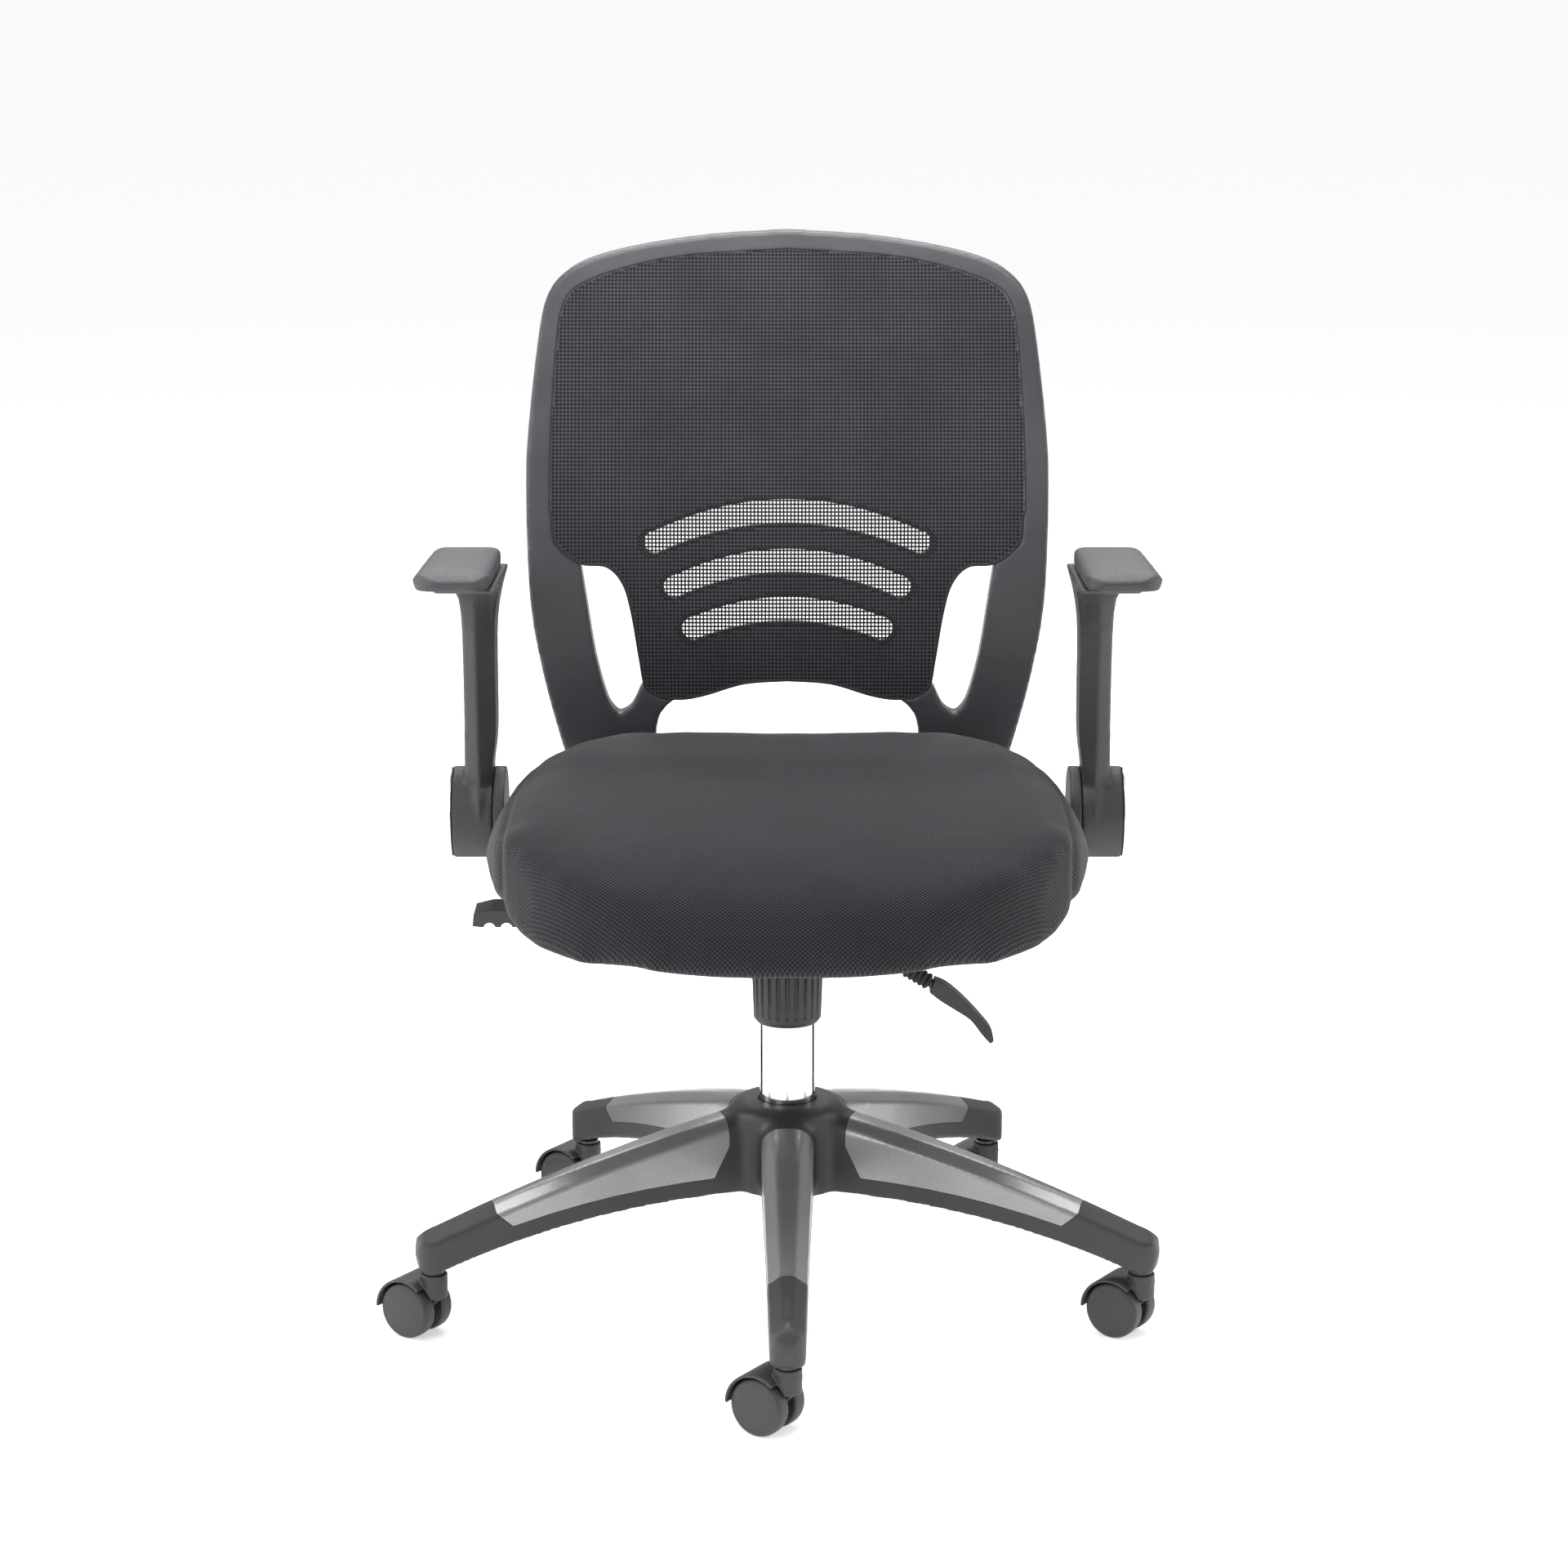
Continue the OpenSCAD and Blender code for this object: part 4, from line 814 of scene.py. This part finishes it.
# %% The panel's outline and the line of the back, from the engineering drawing
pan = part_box("seat_board")[0].z / MM - 3
bx = (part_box("back_frame")[1].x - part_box("back_frame")[0].x) / MM / 480
bz = (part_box("back_frame")[1].z / MM - pan - 77) / (546 - 77)


def scaled(points, wide=True):
    return [(p[0] * (bx if wide else 1), p[1] if p[1] < 77 else 77 + (p[1] - 77) * bz, 0) for p in points]


FACE = [(285, 546), (258, 490), (235, 429), (200, 314), (190, 240), (190, 164), (197, 100), (206, 50),
        (208, 20)]
face_line = through(scaled(FACE, False), 12)
HALF_EDGE = [(0, 528), (95, 522), (150, 511), (186, 498), (203, 483), (210, 450), (215, 373), (216, 290),
             (211, 266), (190, 251), (166, 248), (151, 232), (143, 204), (136, 160), (131, 134), (118, 125),
             (98, 123), (76, 127), (40, 138), (0, 141)]
edge_half = through(scaled(HALF_EDGE), 6)
TUCK = 2.5        # mm that the cloth's border goes under the hoop
for p in edge_half:
    if p.y > 300 * bz:
        p.x += TUCK * min(1, max(0, (p.x - 100) / 80))
        p.y += TUCK * min(1, max(0, (p.y - 430 * bz) / 60))
edge = [(p.x, p.y) for p in edge_half] + [(-p.x, p.y) for p in reversed(edge_half[1:-1])]


def face_y(z):
    """How far back the front face lies at the height z over the seat's board, in mm."""
    for p, q in zip(face_line[:-1], face_line[1:]):
        if q.y <= z <= p.y:
            return q.x + (p.x - q.x) * (z - q.y) / (p.y - q.y)
    return face_line[0].x if z > face_line[0].y else face_line[-1].x


def inside(x, z, outline):
    found = False
    for (x0, z0), (x1, z1) in zip(outline, outline[1:] + outline[:1]):
        if (z0 > z) != (z1 > z) and x < x0 + (x1 - x0) * (z - z0) / (z1 - z0):
            found = not found
    return found


def slot_outline(height, half, rise, tall):
    top = [(half * k / 12, height - rise * (k / 12) ** 2 + tall / 2) for k in range(-12, 13)]
    low = [(half * k / 12, height - rise * (k / 12) ** 2 - tall / 2) for k in range(12, -13, -1)]
    turns = [math.radians(a) for a in range(60, -61, -30)]
    right = [(half + tall / 2 * math.cos(a), height - rise + tall / 2 * math.sin(a)) for a in turns]
    left = [(-x, z) for x, z in reversed(right)]
    return [(x * bx, 77 + (z - 77) * bz) for x, z in top + right + low + left]


slots = [slot_outline(298, 123, 28, 29), slot_outline(253, 105, 24, 29), slot_outline(208, 88, 18, 30)]

# %% Lay the net over the panel and open its meshes
PITCH, ROW = 3.33, 3.5      # mm, width and height of one mesh
columns, rows = 132, 125
length = [0.0]
tall_line = list(reversed(face_line))
for p, q in zip(tall_line[:-1], tall_line[1:]):
    length.append(length[-1] + (q - p).length)
start = next(s for s, p in zip(length, tall_line) if p.y > 110)
DEPTH = 1.2


def on_face(u, v):
    s = start + v * rows * ROW
    k = next((i for i in range(1, len(length)) if length[i] >= s), len(length) - 1)
    share = (s - length[k - 1]) / (length[k] - length[k - 1])
    p = tall_line[k - 1].lerp(tall_line[k], share)
    return Vector(((u - 0.5) * columns * PITCH, p.x + DEPTH, pan + p.y)) * MM


net = netted("back_cloth", columns, rows, on_face)
weave = net.data.uv_layers.active
weave.name = "weave"
for loop in weave.data:
    loop.uv = ((loop.uv.x - 0.5) * columns * PITCH * MM, loop.uv.y * rows * ROW * MM)


def choose(piece, test):
    """Selects the faces that pass a test, and stays in edit mode."""
    pick(piece)
    bpy.ops.object.mode_set(mode="EDIT")
    bpy.ops.mesh.select_mode(type="FACE")
    bpy.ops.mesh.select_all(action="DESELECT")
    bpy.ops.object.mode_set(mode="OBJECT")
    chosen = [f for f in piece.data.polygons if test(f)]
    for face in chosen:
        face.select = True
    bpy.ops.object.mode_set(mode="EDIT")
    return len(chosen)


choose(net, lambda f: not inside(f.center.x / MM, f.center.z / MM - pan, edge))
bpy.ops.mesh.delete(type="FACE")
bpy.ops.mesh.select_all(action="SELECT")
bpy.ops.mesh.region_to_loop()
bpy.ops.object.mode_set(mode="OBJECT")
ring = [v for v in net.data.vertices if v.select]
for vertex in ring:
    x, z = vertex.co.x / MM, vertex.co.z / MM - pan
    best = None
    for (x0, z0), (x1, z1) in zip(edge, edge[1:] + edge[:1]):
        span = (x1 - x0) ** 2 + (z1 - z0) ** 2
        t = min(1, max(0, ((x - x0) * (x1 - x0) + (z - z0) * (z1 - z0)) / max(span, 1e-9)))
        px, pz = x0 + t * (x1 - x0), z0 + t * (z1 - z0)
        if best is None or (px - x) ** 2 + (pz - z) ** 2 < best[0]:
            best = ((px - x) ** 2 + (pz - z) ** 2, px, pz)
    vertex.co = Vector((best[1], face_y(best[2]) + DEPTH, pan + best[2])) * MM
hem_line = bpy.data.curves.new("hem", "CURVE")
hem_line.dimensions = "3D"
hem_line.bevel_depth, hem_line.bevel_resolution = 1.3 * MM, 2
spline = hem_line.splines.new("POLY")
spline.points.add(len(edge) - 1)
spline.use_cyclic_u = True
for point, (x, z) in zip(spline.points, edge):
    point.co = (x * MM, (face_y(z) + 1.3) * MM, (pan + z) * MM, 1)
hem = bpy.data.objects.new("back_cloth_hem", hem_line)
bpy.context.scene.collection.objects.link(hem)
pick(hem)
bpy.ops.object.convert(target="MESH")
hem = bpy.context.object
meshes = choose(net, lambda f: any(inside(f.center.x / MM, f.center.z / MM - pan, slot) for slot in slots))
bpy.ops.mesh.inset(thickness=0.72 * MM, use_individual=True)
bpy.ops.mesh.delete(type="FACE")
bpy.ops.object.mode_set(mode="OBJECT")
modify(net, "SOLIDIFY", thickness=0.9 * MM, offset=0)
fit(smooth(net, 35), "seat", "back_mesh", back_cloth, "back_mesh")
fit(smooth(hem), "seat", "back_mesh", hem_cord)

# %% [markdown]
# ## Pieces that keep their engineering shape
# Axles, bolts, pins, the chromed tube and the mechanism are true turned or pressed shapes.
# They only need their stuff.

# %% Finishes for the remaining pieces
FINISHES = [
    (chrome, ["column_tube"]),
    (sleeve_plastic, ["column_guide"]),
    (powder_coat, ["caster_stems", "gas_cylinder", "mech_housing", "lock_lever_rod", "seat_plate"]),
    (zinc_steel, ["piston_rod", "thrust_bearing", "tilt_axle", "lever_pins", "tilt_spring", "tension_bolt",
                  "height_lever_rod", "seat_bolts", "back_bolts", "arm_pivot_bolts"]),
    (zinc_steel, [f"caster_axle_{i}" for i in range(1, LEGS + 1)]),
    (bellows_rubber, ["valve_button"]),
    (cover_plastic, ["seat_under_cover"]),
    (plywood, ["seat_board"]),
    (hoop_plastic, ["back_panel"]),
]
STUFF = {name: stuff for stuff, names in FINISHES for name in names}
for name, node in nodes.items():
    if node.hide_render:
        continue
    node.data.materials.clear()
    node.data.materials.append(STUFF[name])
print("rough pieces still shown:", sum(not n.hide_render for n in nodes.values()))

# %% Print the two boxes and finish
boxes = {"cad": [list(cad_low), list(cad_high)], "visual": [list(c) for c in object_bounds()]}
for which, corners in boxes.items():
    print(which, "box (m):", [[round(v, 4) for v in corner] for corner in corners])
